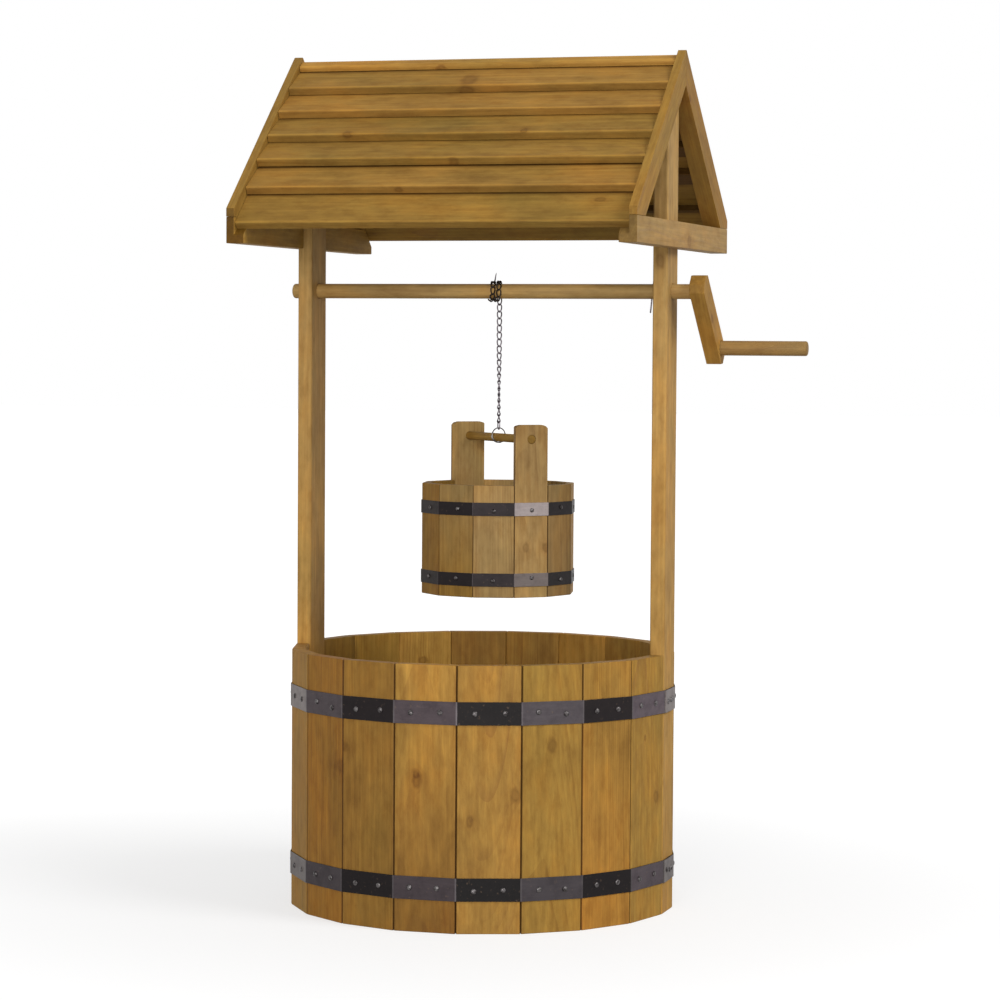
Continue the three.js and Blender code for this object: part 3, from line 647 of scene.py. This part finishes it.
front_boards = [
    Cut("olive", 1.0, 0.012, 0.07, 2.2, 0.002, 0.03, [(-0.021, 0.2127, 0.0035), (0.031, -0.105, 0.0035)]),
    Cut("honey", 0.93, 0.09, 0.03, 6.1, 0.003, 0.01, [(0.033, -0.0525, 0.0025)]),
    Cut("olive", 1.02, -0.01, 0.09, 9.4, -0.004, 0.02, [(0.033, -0.071, 0.003), (0.028, 0.008, 0.003)]),
    Cut("olive", 0.98, 0.1, 0.04, 13.3, 0.002, 0.01, [(0.017, -0.149, 0.003), (0.0116, 0.089, 0.002)]),
    Cut("honey", 0.94, 0.02, 0.06, 17.8, 0.004, -0.03, []),
    Cut("honey", 0.96, -0.08, 0.03, 21.6, 0.002, 0.01, [(0.012, -0.012, 0.0048)]),
]
LOWEST_COVERED, COVERED, TOP_COVERED = 0.0038, 0.0231, 0.0115
for slope, cuts in (("front", front_boards), ("back", chance_cuts(23, 6, ["olive", "honey", "brown"], 0.5))):
    for row, cut in enumerate(cuts, start=1):
        edges = lapped_edges({1: LOWEST_COVERED, len(cuts): TOP_COVERED}.get(row, COVERED))
        board(f"roof_board_{slope}_{row}", "frame", "roof_wood", cut, edges)
board("ridge_cap", "frame", "roof_wood", Cut("honey", 1.25, 0.09, 0.03, 33.0, 0.0, 0.0, [(0.004, -0.06, 0.0028)]))

# The last value darkens a board's ends past plain end grain: on the left front rafter and the gable ties it is painted
# shade.
frame_cuts = {
    "rafter_right_front": Cut("olive", 1.05, -0.017, 0.08, 1.6, -0.011, -0.032, []),
    "rafter_right_back": Cut("honey", 0.8, -0.008, 0.075, 33.7, 0.01, 0.002, [(0.0107, -0.07, 0.0026)]),
    "rafter_left_front": Cut("olive", 0.98, 0.004, 0.08, 5.7, 0.005, 0.019, [], 2.6),
    "rafter_left_back": Cut("honey", 0.85, 0.007, 0.059, 23.9, 0.003, -0.027, [(-0.0027, 0.031, 0.0033)]),
    "gable_tie_right": Cut("pale", 0.86, 0.03, 0.05, 31.7, -0.007, -0.002, [(0.0, 0.027, 0.0052)], 2.8),
    "gable_tie_left": Cut("olive", 1.26, -0.087, 0.016, 25.1, 0.009, 0.018, [(0.0132, -0.011, 0.0031)], 4.0),
}
for node, cut in frame_cuts.items():
    board(node, "frame", "frame_wood", cut)

# -------- windlass

ROLLER_HEIGHT, ROLLER_RADIUS, ROLLER_ROUNDING = 0.8105, 0.00975, 0.003
CRANK_INNER_FACE, SOCKET_DEPTH = 0.2805, 0.015
HANDLE_ROUNDING = 0.0025
BAR_SIDES = 56


def bar(node, body, slot, profile, axis, start, cut):
    """A round wooden bar over its node, turned from one board along its axis."""
    mesh = surface(node + "_bar", turned(profile, axis, start, BAR_SIDES)[None])
    middle = mesh_points(mesh).mean(axis=0)
    axes = board_axes(middle, np.asarray(axis, float), Z)
    dress(mesh, grain(mesh, middle, axes, cut), axes[0], body, slot, node, cut.ends)


roller_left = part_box("roller")[0].x
bar(
    "roller", "windlass", "frame_wood",
    rounded_bar(CRANK_INNER_FACE + SOCKET_DEPTH - roller_left, ROLLER_RADIUS, ROLLER_ROUNDING),
    X, np.array([roller_left, 0, ROLLER_HEIGHT]), Cut("pale", 0.93, 0.05, 0.03, 2.0, 0.0, 0.004, []),
)
handle_low, handle_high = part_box("crank_handle")
handle_middle = (np.array(handle_low) + np.array(handle_high)) / 2
handle_length = handle_high.x - handle_low.x
bar(
    "crank_handle", "windlass", "frame_wood",
    rounded_bar(handle_length, (handle_high.z - handle_low.z) / 2, HANDLE_ROUNDING),
    X, handle_middle - X * handle_length / 2, Cut("pale", 0.68, 0.04, 0.03, 6.0, 0.0, 0.003, []),
)
arm_cut = Cut("honey", (0.94, 1.18), 0.03, 0.05, 8.0, 0.01, 0.03, [(0.002, -0.012, 0.003)])
board("crank_arm", "windlass", "frame_wood", arm_cut)

# -------- bucket

BUCKET_MIDDLE = np.array([0.0152, 0.0126, 0])
BUCKET_TURN_DEGREES = -47.8
HANDLE_STAVE_DEGREES = 27.5
SHORT_STAVES = 5
SHORT_STAVE_DEGREES = (180 - HANDLE_STAVE_DEGREES) / SHORT_STAVES
BUCKET_RADIUS, BUCKET_THICKNESS = 0.1024, 0.0095
STAVE_GAP, STAVE_ROUNDING = 0.00008, 0.0009
DOWEL_HALF_LENGTH, DOWEL_ROUNDING = 0.0994, 0.0008


def short_staves(node, cuts, first_degrees):
    """Half a ring of short staves in one mesh. In plan each stave is a wedge of four corners: one on either side of
    its middle angle on the outer circle and on the inner one, half a step less half a gap away from it. Each point
    takes its grain from the cut and the directions of the stave that it belongs to."""
    low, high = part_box(node)
    half = math.radians(SHORT_STAVE_DEGREES) / 2
    radius = np.array([BUCKET_RADIUS, BUCKET_RADIUS, *[BUCKET_RADIUS - BUCKET_THICKNESS / math.cos(half)] * 2])
    swing = np.array([-1, 1, 1, -1]) * (half - STAVE_GAP / 2 / radius)
    middles = np.radians(first_degrees + np.arange(len(cuts)) * SHORT_STAVE_DEGREES)
    angle = middles[:, None] + swing
    plan = BUCKET_MIDDLE + radius[:, None] * level(angle)
    shape = bmesh.new()
    shape.from_mesh(surface(node, plan[:, None] + np.array([low.z, high.z])[:, None, None] * Z))
    round_edges(shape, STAVE_ROUNDING)
    mesh = made_flat(shape, node + "_wood")
    points = mesh_points(mesh)
    places, tones = np.empty((len(points), 3)), np.empty((len(points), 4))
    edges, knots = np.empty((len(points), 3)), np.empty((KNOT_PLACES, len(points), 4))
    turn = np.arctan2(*(points - BUCKET_MIDDLE)[:, 1::-1].T) - middles.mean()
    turn = (turn + np.pi) % (2 * np.pi) - np.pi
    owner = np.round(turn / (2 * half) + (len(cuts) - 1) / 2).astype(int)
    for number, (cut, angle) in enumerate(zip(cuts, middles)):
        face = level(angle)
        chosen = owner == number
        middle = points[chosen].mean(axis=0)
        axes = (Z, face, np.cross(Z, face))
        grains = grain(mesh, middle, axes, cut, stave_edges, chosen)
        places[chosen], tones[chosen], edges[chosen], knots[:, chosen] = grains
    dress(mesh, (places, tones, edges, knots), Z, "bucket", "stave_wood", node)


short_first = BUCKET_TURN_DEGREES + HANDLE_STAVE_DEGREES / 2 + SHORT_STAVE_DEGREES / 2
right_cuts = [
    Cut("pale", 0.52, 0.011, 0.048, 14.0, 0.0, 0.01, []),
    *chance_cuts(41, 4, ["honey", "olive", "pale"], 0.14),
]
left_cuts = [
    *chance_cuts(43, 2, ["honey", "olive"], 0.14),
    Cut("honey", 0.72, -0.001, 0.092, 25.6, -0.001, 0.021, []),
    Cut(("olive", "pale"), (0.82, 0.64), -0.1, 0.028, 33.0, 0.012, 0.025, []),
    Cut("pale", 0.68, 0.101, 0.031, 10.3, 0.004, 0.014, []),
]
short_staves("bucket_staves_right", right_cuts, short_first)
short_staves("bucket_staves_left", left_cuts, short_first + 180)
front_knots = [(-0.0075, -0.108, 0.0032), (0.0185, -0.108, 0.003)]
front_cut = Cut("pale", (0.78, 0.6), 0.012, 0.05, 3.0, 0.01, 0.05, front_knots)
back_cut = Cut("pale", 0.88, 0.09, 0.03, 8.0, 0.0, 0.01, [(-0.01, 0.02, 0.003)])
board("bucket_handle_stave_front", "bucket", "stave_wood", front_cut, stave_edges)
board("bucket_handle_stave_back", "bucket", "stave_wood", back_cut, stave_edges)
board("bucket_bottom", "bucket", "stave_wood", Cut("brown", 1.0, 0.03, 0.05, 12.0, 0.0, 0.02, []))

dowel_low, dowel_high = (np.array(corner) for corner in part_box("bucket_dowel"))
dowel_middle = (dowel_low + dowel_high) / 2
dowel_axis = level(math.radians(BUCKET_TURN_DEGREES))
dowel_profile = rounded_bar(2 * DOWEL_HALF_LENGTH, (dowel_high[2] - dowel_low[2]) / 2, DOWEL_ROUNDING)
bar(
    "bucket_dowel", "bucket", "stave_wood", dowel_profile, dowel_axis, dowel_middle - dowel_axis * DOWEL_HALF_LENGTH,
    Cut("olive", 1.15, 0.04, 0.03, 2.0, 0.0, 0.0, [], 2.4),
)

# -------- bands and nails

BEND_DEGREES, BEND_ROUNDING, STRIP_ROUNDING = (8, 25), 0.001, 0.0002
FACET_DEGREES = 4
# The lower tub band's tones are scaled darker than the upper's: painted shade.
LOWER_TUB_BAND_PAINTED_SHADE = 0.72

band_steel = strip_steel("band_steel")


def strip(node, middle, facets, body, light=1.0):
    """A band over its node, with its bends rounded. A face takes the tone of the facet that its middle's angle falls
    on, unless it looks more than a few degrees away from that facet, as a bend does, or up or down: then it takes a
    painted highlight. The facets are (first angle, width, tone), their tones painted reflections, and light scales
    their tones; on the lower tub band that is painted shade."""
    shape = whole_faces(node, middle)
    round_edges(shape, BEND_ROUNDING, *BEND_DEGREES)
    round_edges(shape, STRIP_ROUNDING)
    mesh = made_flat(shape, node + "_steel")
    out = vectors(mesh.polygons, "center") - middle
    normals = vectors(mesh.polygons, "normal")
    first, width, tones = zip(*sorted((first % 360, width, tone) for first, width, tone in facets))
    first, width = np.array(first), np.array(width)
    degrees = np.degrees(np.arctan2(out[:, 1], out[:, 0])) % 360
    facet = np.searchsorted(first, degrees, side="right") - 1
    away = np.degrees(np.arctan2(normals[:, 1], normals[:, 0])) - first[facet] - width[facet] / 2
    away = np.abs((away + 180) % 360 - 180)
    bent = (away > FACET_DEGREES) & (away < 90) | (np.abs(normals[:, 2]) > 0.5)
    colours = np.array([STEEL_TONES_AND_REFLECTIONS[tone] for tone in tones])[facet]
    # Bends and faces that look up or down take a painted highlight.
    colours[bent] = STEEL_TONES_AND_REFLECTIONS["bend_highlight"]
    colours *= light
    set_on(mesh, "tone", "FLOAT_COLOR", np.column_stack([colours, np.ones(len(colours))]), "FACE")
    put_on(mesh, band_steel, body, "band_steel", node)


def facets_round(turn, post_tones, post_width, side_tones, width):
    """The facets of a band: a wide post or handle facet centred on each end of the first direction, and equal ones
    between."""
    facets = [(turn + half - post_width / 2, post_width, tone) for half, tone in zip((0, 180), post_tones)]
    for half, tones in zip((0, 180), side_tones):
        facets += [(turn + half + post_width / 2 + index * width, width, tone) for index, tone in enumerate(tones)]
    return facets


# The tub bands' facet tones are painted reflections: darker and lighter faces in turn.
tub_facets = facets_round(
    0, ("light", "light"), 2 * POST_DEGREES,
    (["dark", "grey"] * 4 + ["dark"], ["light", "light", "grey", "dark", "grey", "black", "cool", "dark", "blued"]),
    STAVE_DEGREES,
)
# Painted shade: the lower band's tones are scaled darker.
strip("tub_band_lower", np.zeros(3), tub_facets, "frame", LOWER_TUB_BAND_PAINTED_SHADE)
strip("tub_band_upper", np.zeros(3), tub_facets, "frame")
# The bucket bands' handle facet takes a painted reflection, lighter on the upper band.
for node, handle_reflection in (("bucket_band_lower", "light"), ("bucket_band_upper", "bright")):
    bucket_facets = facets_round(
        BUCKET_TURN_DEGREES, (handle_reflection, "grey"), HANDLE_STAVE_DEGREES,
        (["dark", "dark", "grey", "dark", "grey"], ["dark", "grey", "dark", "dark", "dark"]), SHORT_STAVE_DEGREES,
    )
    strip(node, BUCKET_MIDDLE, bucket_facets, "bucket")

wire_steel = round_steel("chain_steel", screen(132, 124, 130), screen(80, 73, 78), 0.3)
# The wound chain is darker than the hanging chain: rust, and painted shade for the shadows inside the dense coil.
wound_steel = round_steel("wound_steel", screen(60, 50, 43), screen(26, 20, 18), 0.36)
nail_steel = round_steel("nail_steel", screen(102, 98, 98), screen(44, 40, 40), 0.32)
ring_steel = round_steel("ring_steel", screen(150, 146, 144), screen(70, 64, 62), 0.25)


# A nail head's radius and how far it stands out, and how far the nails stray from their row.
Nails = namedtuple("Nails", "radius rise spread")
TUB_NAILS, BUCKET_NAILS = Nails(0.0037, 0.002, 0.0012), Nails(0.0029, 0.0017, 0.0014)
NAIL_SIDES = 10
NAIL_LEAN = 0.06
COLLAR_FOOT, COLLAR_TOP = -0.0003, 0.0002
DOME_ANGLES = np.array([0.15, 0.55, 0.95, 1.35])


def nail_heads(name, places, faces, radius, rise):
    """Domed nail heads on flat faces. Each head is rings of a low dome, radius cos t out and rise sin t up, over a
    short collar, on the two directions square to its face."""
    out = np.concatenate([[1.0, 1.0], np.cos(DOME_ANGLES)]) * radius
    up = np.concatenate([[COLLAR_FOOT, COLLAR_TOP], COLLAR_TOP + np.sin(DOME_ANGLES) * (rise - COLLAR_TOP)])
    faces = unit(np.asarray(faces, float))
    side = unit(np.cross(faces, Z))
    edge = circle(NAIL_SIDES, side, np.cross(faces, side))
    rings = out[:, None, None] * edge[:, None] + up[:, None, None] * faces[:, None, None]
    return surface(name, np.asarray(places)[:, None, None] + rings)


def facet_nails(middle, facets, height, dice, spread):
    """Places and faces of the nails of a band: for each facet its angle, how far out it lies and where across it its
    nails are, each a little out of line."""
    places, faces = [], []
    for degrees, out, acrosses in facets:
        face = level(math.radians(degrees))
        across = np.cross(Z, face)
        for offset in acrosses:
            shift = dice.normal(0, spread, 2)
            places.append(middle + face * out + across * (offset + shift[0]) + Z * (height + shift[1]))
            faces.append(face + across * dice.normal(0, NAIL_LEAN) + Z * dice.normal(0, NAIL_LEAN))
    return places, faces


def nail_band(node, middle, facets, dice, nails, body):
    """The nail heads of a band, in a row at half its height."""
    low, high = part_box(node)
    places, faces = facet_nails(middle, facets, (low.z + high.z) / 2, dice, nails.spread)
    heads = nail_heads(node + "_nails", places, faces, nails.radius, nails.rise)
    put_on(heads, nail_steel, body, "band_steel")


TUB_RADIUS = 0.255
BAND_OUT, BAND_THICKNESS = 0.0015, 0.0012
STAVE_NAIL, POST_NAIL = 0.0185, 0.014
LAP_NAILS, BESIDE_LAP_NAIL = (-0.0146, 0.001), 0.0159
stave_out = TUB_RADIUS * math.cos(math.radians(STAVE_DEGREES / 2)) + BAND_OUT
post_out = TUB_RADIUS * math.cos(math.radians(POST_DEGREES)) + BAND_OUT
tub_nail_facets = [
    (0, post_out + BAND_THICKNESS, LAP_NAILS), (0, post_out, (BESIDE_LAP_NAIL,)),
    (180, post_out, (-POST_NAIL, POST_NAIL)),
]
for side in range(2):
    for index in range(STAVES_A_SIDE):
        middle_degrees = side * 180 + POST_DEGREES + (index + 0.5) * STAVE_DEGREES
        tub_nail_facets.append((middle_degrees, stave_out, (-STAVE_NAIL, STAVE_NAIL)))
dice = np.random.default_rng(7)
for node in ("tub_band_lower", "tub_band_upper"):
    nail_band(node, np.zeros(3), tub_nail_facets, dice, TUB_NAILS, "frame")

BUCKET_BAND_OUT = 0.0012
handle_out = BUCKET_RADIUS * math.cos(math.radians(HANDLE_STAVE_DEGREES / 2)) + BUCKET_BAND_OUT
short_out = BUCKET_RADIUS * math.cos(math.radians(SHORT_STAVE_DEGREES / 2)) + BUCKET_BAND_OUT
bucket_nail_facets = [(BUCKET_TURN_DEGREES + half, handle_out, (0.0,)) for half in (0, 180)]
bucket_nail_facets += [
    (short_first + half + index * SHORT_STAVE_DEGREES, short_out, (0.0,))
    for half in (0, 180) for index in range(SHORT_STAVES)
]
for node in ("bucket_band_lower", "bucket_band_upper"):
    nail_band(node, BUCKET_MIDDLE, bucket_nail_facets, dice, BUCKET_NAILS, "bucket")

# -------- chain

LINK_PITCH = 0.0092
LINK_HALF_LENGTH, LINK_HALF_WIDTH, LINK_WIRE_RADIUS = 0.005375, 0.00285, 0.0009
LINK_STEPS, WIRE_SIDES = 20, 8
CHAIN_PLACE = np.array([0.0152, 0.0126])
CHAIN_TOP = 0.81155
PIECE_GAP = 0.0006
FIRST_TURNED, LINKS_LAG_DEGREES = 0.3, 45
HANGING_LINKS, SWIVEL_LINKS, WOUND_LINKS = 15, 4, 15
WIND_RADIUS = 0.0126
WIND_STEP = 2 * math.asin(LINK_PITCH / 2 / WIND_RADIUS)
WIND_SWING, WIND_PITCH = 0.0065, 0.0082
QUARTER_TURN = math.pi / 2


def links(tops, bottoms, widths, twist):
    """Chain links between pairs of points. A link's wire follows an oval: across it the half width times cos t, and
    along it the half width times sin t plus the straight part times tanh of 2 sin t, which keeps its sides nearly
    straight. A twisted link turns about its length in proportion to the height on it."""
    tops, bottoms, widths = (np.asarray(values, float) for values in (tops, bottoms, widths))
    up = unit(tops - bottoms)
    across = square_to(widths, up)
    through = np.cross(up, across)
    angle = np.linspace(0, 2 * np.pi, LINK_STEPS, endpoint=False)
    out = LINK_HALF_WIDTH * np.cos(angle)
    height = LINK_HALF_WIDTH * np.sin(angle) + (LINK_HALF_LENGTH - LINK_HALF_WIDTH) * np.tanh(2 * np.sin(angle))
    turn = twist * height / (2 * LINK_HALF_LENGTH)
    local = np.stack([out * np.cos(turn), out * np.sin(turn), height], axis=-1)
    local_normal = np.stack([-np.sin(turn), np.cos(turn), 0 * turn], axis=-1)
    axes = np.stack([across, through, up], axis=1)
    path = (tops + bottoms)[:, None] / 2 + local @ axes
    return tube(path, LINK_WIRE_RADIUS, WIRE_SIDES, local_normal @ axes)


def smooth(value, low, high):
    share = np.clip((value - low) / (high - low), 0, 1)
    return share * share * (3 - 2 * share)


def hanging_joint(index, piece):
    """The chain's joints hang a pitch apart, and each piece of it a gap higher for every piece above it."""
    height = CHAIN_TOP - LINK_PITCH * index + PIECE_GAP * piece
    return np.stack([*np.broadcast_arrays(CHAIN_PLACE[0], CHAIN_PLACE[1], height)], axis=-1)


def hanging_links(first, count, piece):
    """Twisted links that hang in a line. The lower ones turn more and more towards the bucket's dowel."""
    index = np.arange(first, first + count)
    share = smooth(index / (HANGING_LINKS + SWIVEL_LINKS - 1), FIRST_TURNED, 1)
    turn = np.radians(BUCKET_TURN_DEGREES - LINKS_LAG_DEGREES) * share
    return links(hanging_joint(index, piece), hanging_joint(index + 1, piece), level(turn), QUARTER_TURN)


def wound_point(step):
    """The winding: a circle about the roller. Each turn swings out along it over its first half, and over the next
    comes back past where it began by the winding's pitch."""
    angle = WIND_STEP * step
    turns, in_turn = np.divmod(angle, 2 * np.pi)
    out, back = smooth(in_turn, 0, np.pi), smooth(in_turn, np.pi, 2 * np.pi)
    x = CHAIN_PLACE[0] + WIND_SWING * out - (WIND_SWING + WIND_PITCH) * back - WIND_PITCH * turns
    return np.stack([x, WIND_RADIUS * np.cos(angle), ROLLER_HEIGHT + WIND_RADIUS * np.sin(angle)], axis=-1)


step = np.arange(WOUND_LINKS, dtype=float)
wound = links(wound_point(step + 1), wound_point(step), np.tile(X, (WOUND_LINKS, 1)), QUARTER_TURN)
put_on(surface("wound_chain_links", wound, looped=True), wound_steel, "windlass", "chain_steel", "wound_chain")


def blended_links(node, first, count, piece):
    """The hanging links of a node that joins two bodies: its top rides on one, its foot on the other."""
    mesh = surface(node + "_links", hanging_links(first, count, piece), looped=True)
    chain = put_on(mesh, wire_steel, None, "chain_steel", node)
    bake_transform(chain)


blended_links("hanging_chain", 0, HANGING_LINKS, 0)
blended_links("swivel_chain", HANGING_LINKS, SWIVEL_LINKS, 1)

end_index = np.array([HANGING_LINKS + SWIVEL_LINKS])
end_link = links(hanging_joint(end_index, 2), hanging_joint(end_index + 1, 2), [dowel_axis], 0.0)
end_mesh = surface("chain_end_link_wire", end_link, looped=True)
put_on(end_mesh, wire_steel, "chain_end", "chain_steel", "chain_end_link")

RING_RADIUS, RING_WIRE_RADIUS, RING_RISE, RING_TURNS = 0.0097, 0.0008, 0.0027, 1.5
RING_STEPS, RING_WIRE_SIDES = 64, 10
ring_low, ring_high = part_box("bucket_ring")
share = np.linspace(-0.5, 0.5, RING_STEPS)[:, None]
angle = np.pi / 2 + share * (2 * RING_TURNS) * np.pi
ring_middle = np.array([*CHAIN_PLACE, (ring_low.z + ring_high.z) / 2])
ring_path = ring_middle + RING_RADIUS * (np.cos(angle) * np.cross(Z, dowel_axis) + np.sin(angle) * Z)
ring_path = ring_path + RING_RISE * share * dowel_axis
ring_normal = np.broadcast_to(dowel_axis, ring_path.shape)
ring_rings = tube(ring_path, RING_WIRE_RADIUS, RING_WIRE_SIDES, ring_normal, closed=False)
put_on(surface("bucket_ring_wire", ring_rings[None]), ring_steel, "ring", "chain_steel", "bucket_ring")

POST_THICKNESS, PIN_FROM_POST, PIN_LEAN_DEGREES = 0.0195, 0.007, 5.7
PIN_HALF_LENGTH, PIN_RADIUS, PIN_ROUNDING, PIN_SIDES = 0.028, 0.001, 0.0006, 12
pin_middle = np.array([post_out - BAND_OUT - POST_THICKNESS - PIN_FROM_POST, 0, ROLLER_HEIGHT])
pin_axis = leaning(PIN_LEAN_DEGREES)
pin_profile = rounded_bar(2 * PIN_HALF_LENGTH, PIN_RADIUS, PIN_ROUNDING, 3)
pin = turned(pin_profile, pin_axis, pin_middle - pin_axis * PIN_HALF_LENGTH, PIN_SIDES)
put_on(surface("roller_pin", pin[None]), wire_steel, "windlass", "chain_steel")

CHAIN_NAIL_TURN_DEGREES, CHAIN_NAIL_LEAN_DEGREES, CHAIN_NAIL_SIDES = 450, 10, 10
BESIDE_LINK, OVER_ROLLER = 0.0015, 0.0003
chain_nail_profile = [(0, 0.0011), (0.0125, 0.0006), (0.0148, 0.0001)]
fastened = wound_point(math.radians(CHAIN_NAIL_TURN_DEGREES) / WIND_STEP)
chain_nail_foot = np.array([fastened[0] + BESIDE_LINK, 0, ROLLER_HEIGHT + ROLLER_RADIUS + OVER_ROLLER])
chain_nail = turned(chain_nail_profile, leaning(CHAIN_NAIL_LEAN_DEGREES), chain_nail_foot, CHAIN_NAIL_SIDES)
put_on(surface("chain_nail", chain_nail[None]), wire_steel, "windlass", "chain_steel")

# -------- camera, floor and light

CAMERA_PLACE = Vector((1.2509, -4.137, 0.7408))
CAMERA_YAW, CAMERA_PITCH, CAMERA_ROLL = 0.2889, -0.0477, 0.0064
CAMERA_LENS, SENSOR_WIDTH, CLIP_END = 117.497, 36, 200
LIGHTS_AIM = Vector((0, 0, 0.55))
SKY_LIGHT = 0.38
FLOOR_SIZE = 60
GLOW_STARTS, GLOW_GROWS = (0.236, 0.244), (0.35, 1.8)
NEAR_GLOW, MORE_GLOW = 0.64, 0.24


def camera_turn():
    """The camera looks along yaw and pitch; right is level before the roll, and up is square to both."""
    cos_pitch = math.cos(CAMERA_PITCH)
    ahead = Vector((-math.sin(CAMERA_YAW) * cos_pitch, math.cos(CAMERA_YAW) * cos_pitch, math.sin(CAMERA_PITCH)))
    right = Vector((math.cos(CAMERA_YAW), math.sin(CAMERA_YAW), 0))
    up = right.cross(ahead)
    cos_roll, sin_roll = math.cos(CAMERA_ROLL), math.sin(CAMERA_ROLL)
    rolled_right, rolled_up = cos_roll * right + sin_roll * up, cos_roll * up - sin_roll * right
    return Matrix((rolled_right, rolled_up, -ahead)).transposed()


def light_area(name, place, size, watts):
    lamp = bpy.data.lights.new(name, "AREA")
    lamp.shape, lamp.size, lamp.energy = "DISK", size, watts
    piece = put_in_scene(name, lamp)
    aim = LIGHTS_AIM - Vector(place)
    piece.matrix_world = Matrix.Translation(place) @ aim.to_track_quat("-Z", "Y").to_matrix().to_4x4()


camera = bpy.data.cameras.new("camera")
camera.lens, camera.sensor_width, camera.clip_end = CAMERA_LENS, SENSOR_WIDTH, CLIP_END
camera_piece = put_in_scene("camera", camera)
camera_piece.matrix_world = Matrix.Translation(CAMERA_PLACE) @ camera_turn().to_4x4()
bpy.context.scene.camera = camera_piece

light_area("front_light", (0.8, -5.5, 1.3), 3.0, 182)
light_area("side_light", (4.2, -1.2, 3.8), 2.5, 150)


def seen_directly(finish):
    """1 for rays from the camera, from a gloss and through glass, and 0 for the light that falls on things."""
    path = finish.node("ShaderNodeLightPath", output="Is Camera Ray")
    return path.maths("MAXIMUM", path.beside("Is Glossy Ray")).maths("MAXIMUM", path.beside("Is Transmission Ray"))


class Sky(Finish):
    """The world's nodes, made as a finish's are."""

    def __init__(self):
        world = bpy.data.worlds.new("studio")
        bpy.context.scene.world = world
        world.use_nodes = True
        self.tree = world.node_tree
        self.shader = self.tree.nodes["Background"]


sky = Sky()
sky_direct = seen_directly(sky)
sky.feed(sky.shader.inputs["Color"], (1.0, 1.0, 1.0))
sky.feed(sky.shader.inputs["Strength"], sky_direct * (1 - SKY_LIGHT) + SKY_LIGHT)

floor_mesh = bpy.data.meshes.new("floor")
half = FLOOR_SIZE / 2
floor_mesh.from_pydata([(-half, -half, 0), (half, -half, 0), (half, half, 0), (-half, half, 0)], [], [(0, 1, 2, 3)])
floor = put_in_scene("floor", floor_mesh)
floor_finish = Finish("studio_floor")
floor_place = floor_finish.node("ShaderNodeTexCoord", output="Object")
floor_distance = floor_finish.node("ShaderNodeVectorMath", {"operation": "LENGTH"}, {0: floor_place}, output="Value")
floor_finish.done(Base_Color=(0.35, 0.35, 0.35), Roughness=0.9, Emission_Color=(1.0, 1.0, 1.0))
out_of_tub = floor_distance.ramp(*GLOW_STARTS)
floor_glow = floor_distance.ramp(*GLOW_GROWS) * MORE_GLOW + NEAR_GLOW
floor_finish.feed(
    floor_finish.shader.inputs["Emission Strength"], seen_directly(floor_finish) * floor_glow * out_of_tub,
)
floor_mesh.materials.append(floor_finish.material)

bpy.context.scene.view_settings.view_transform = "Standard"
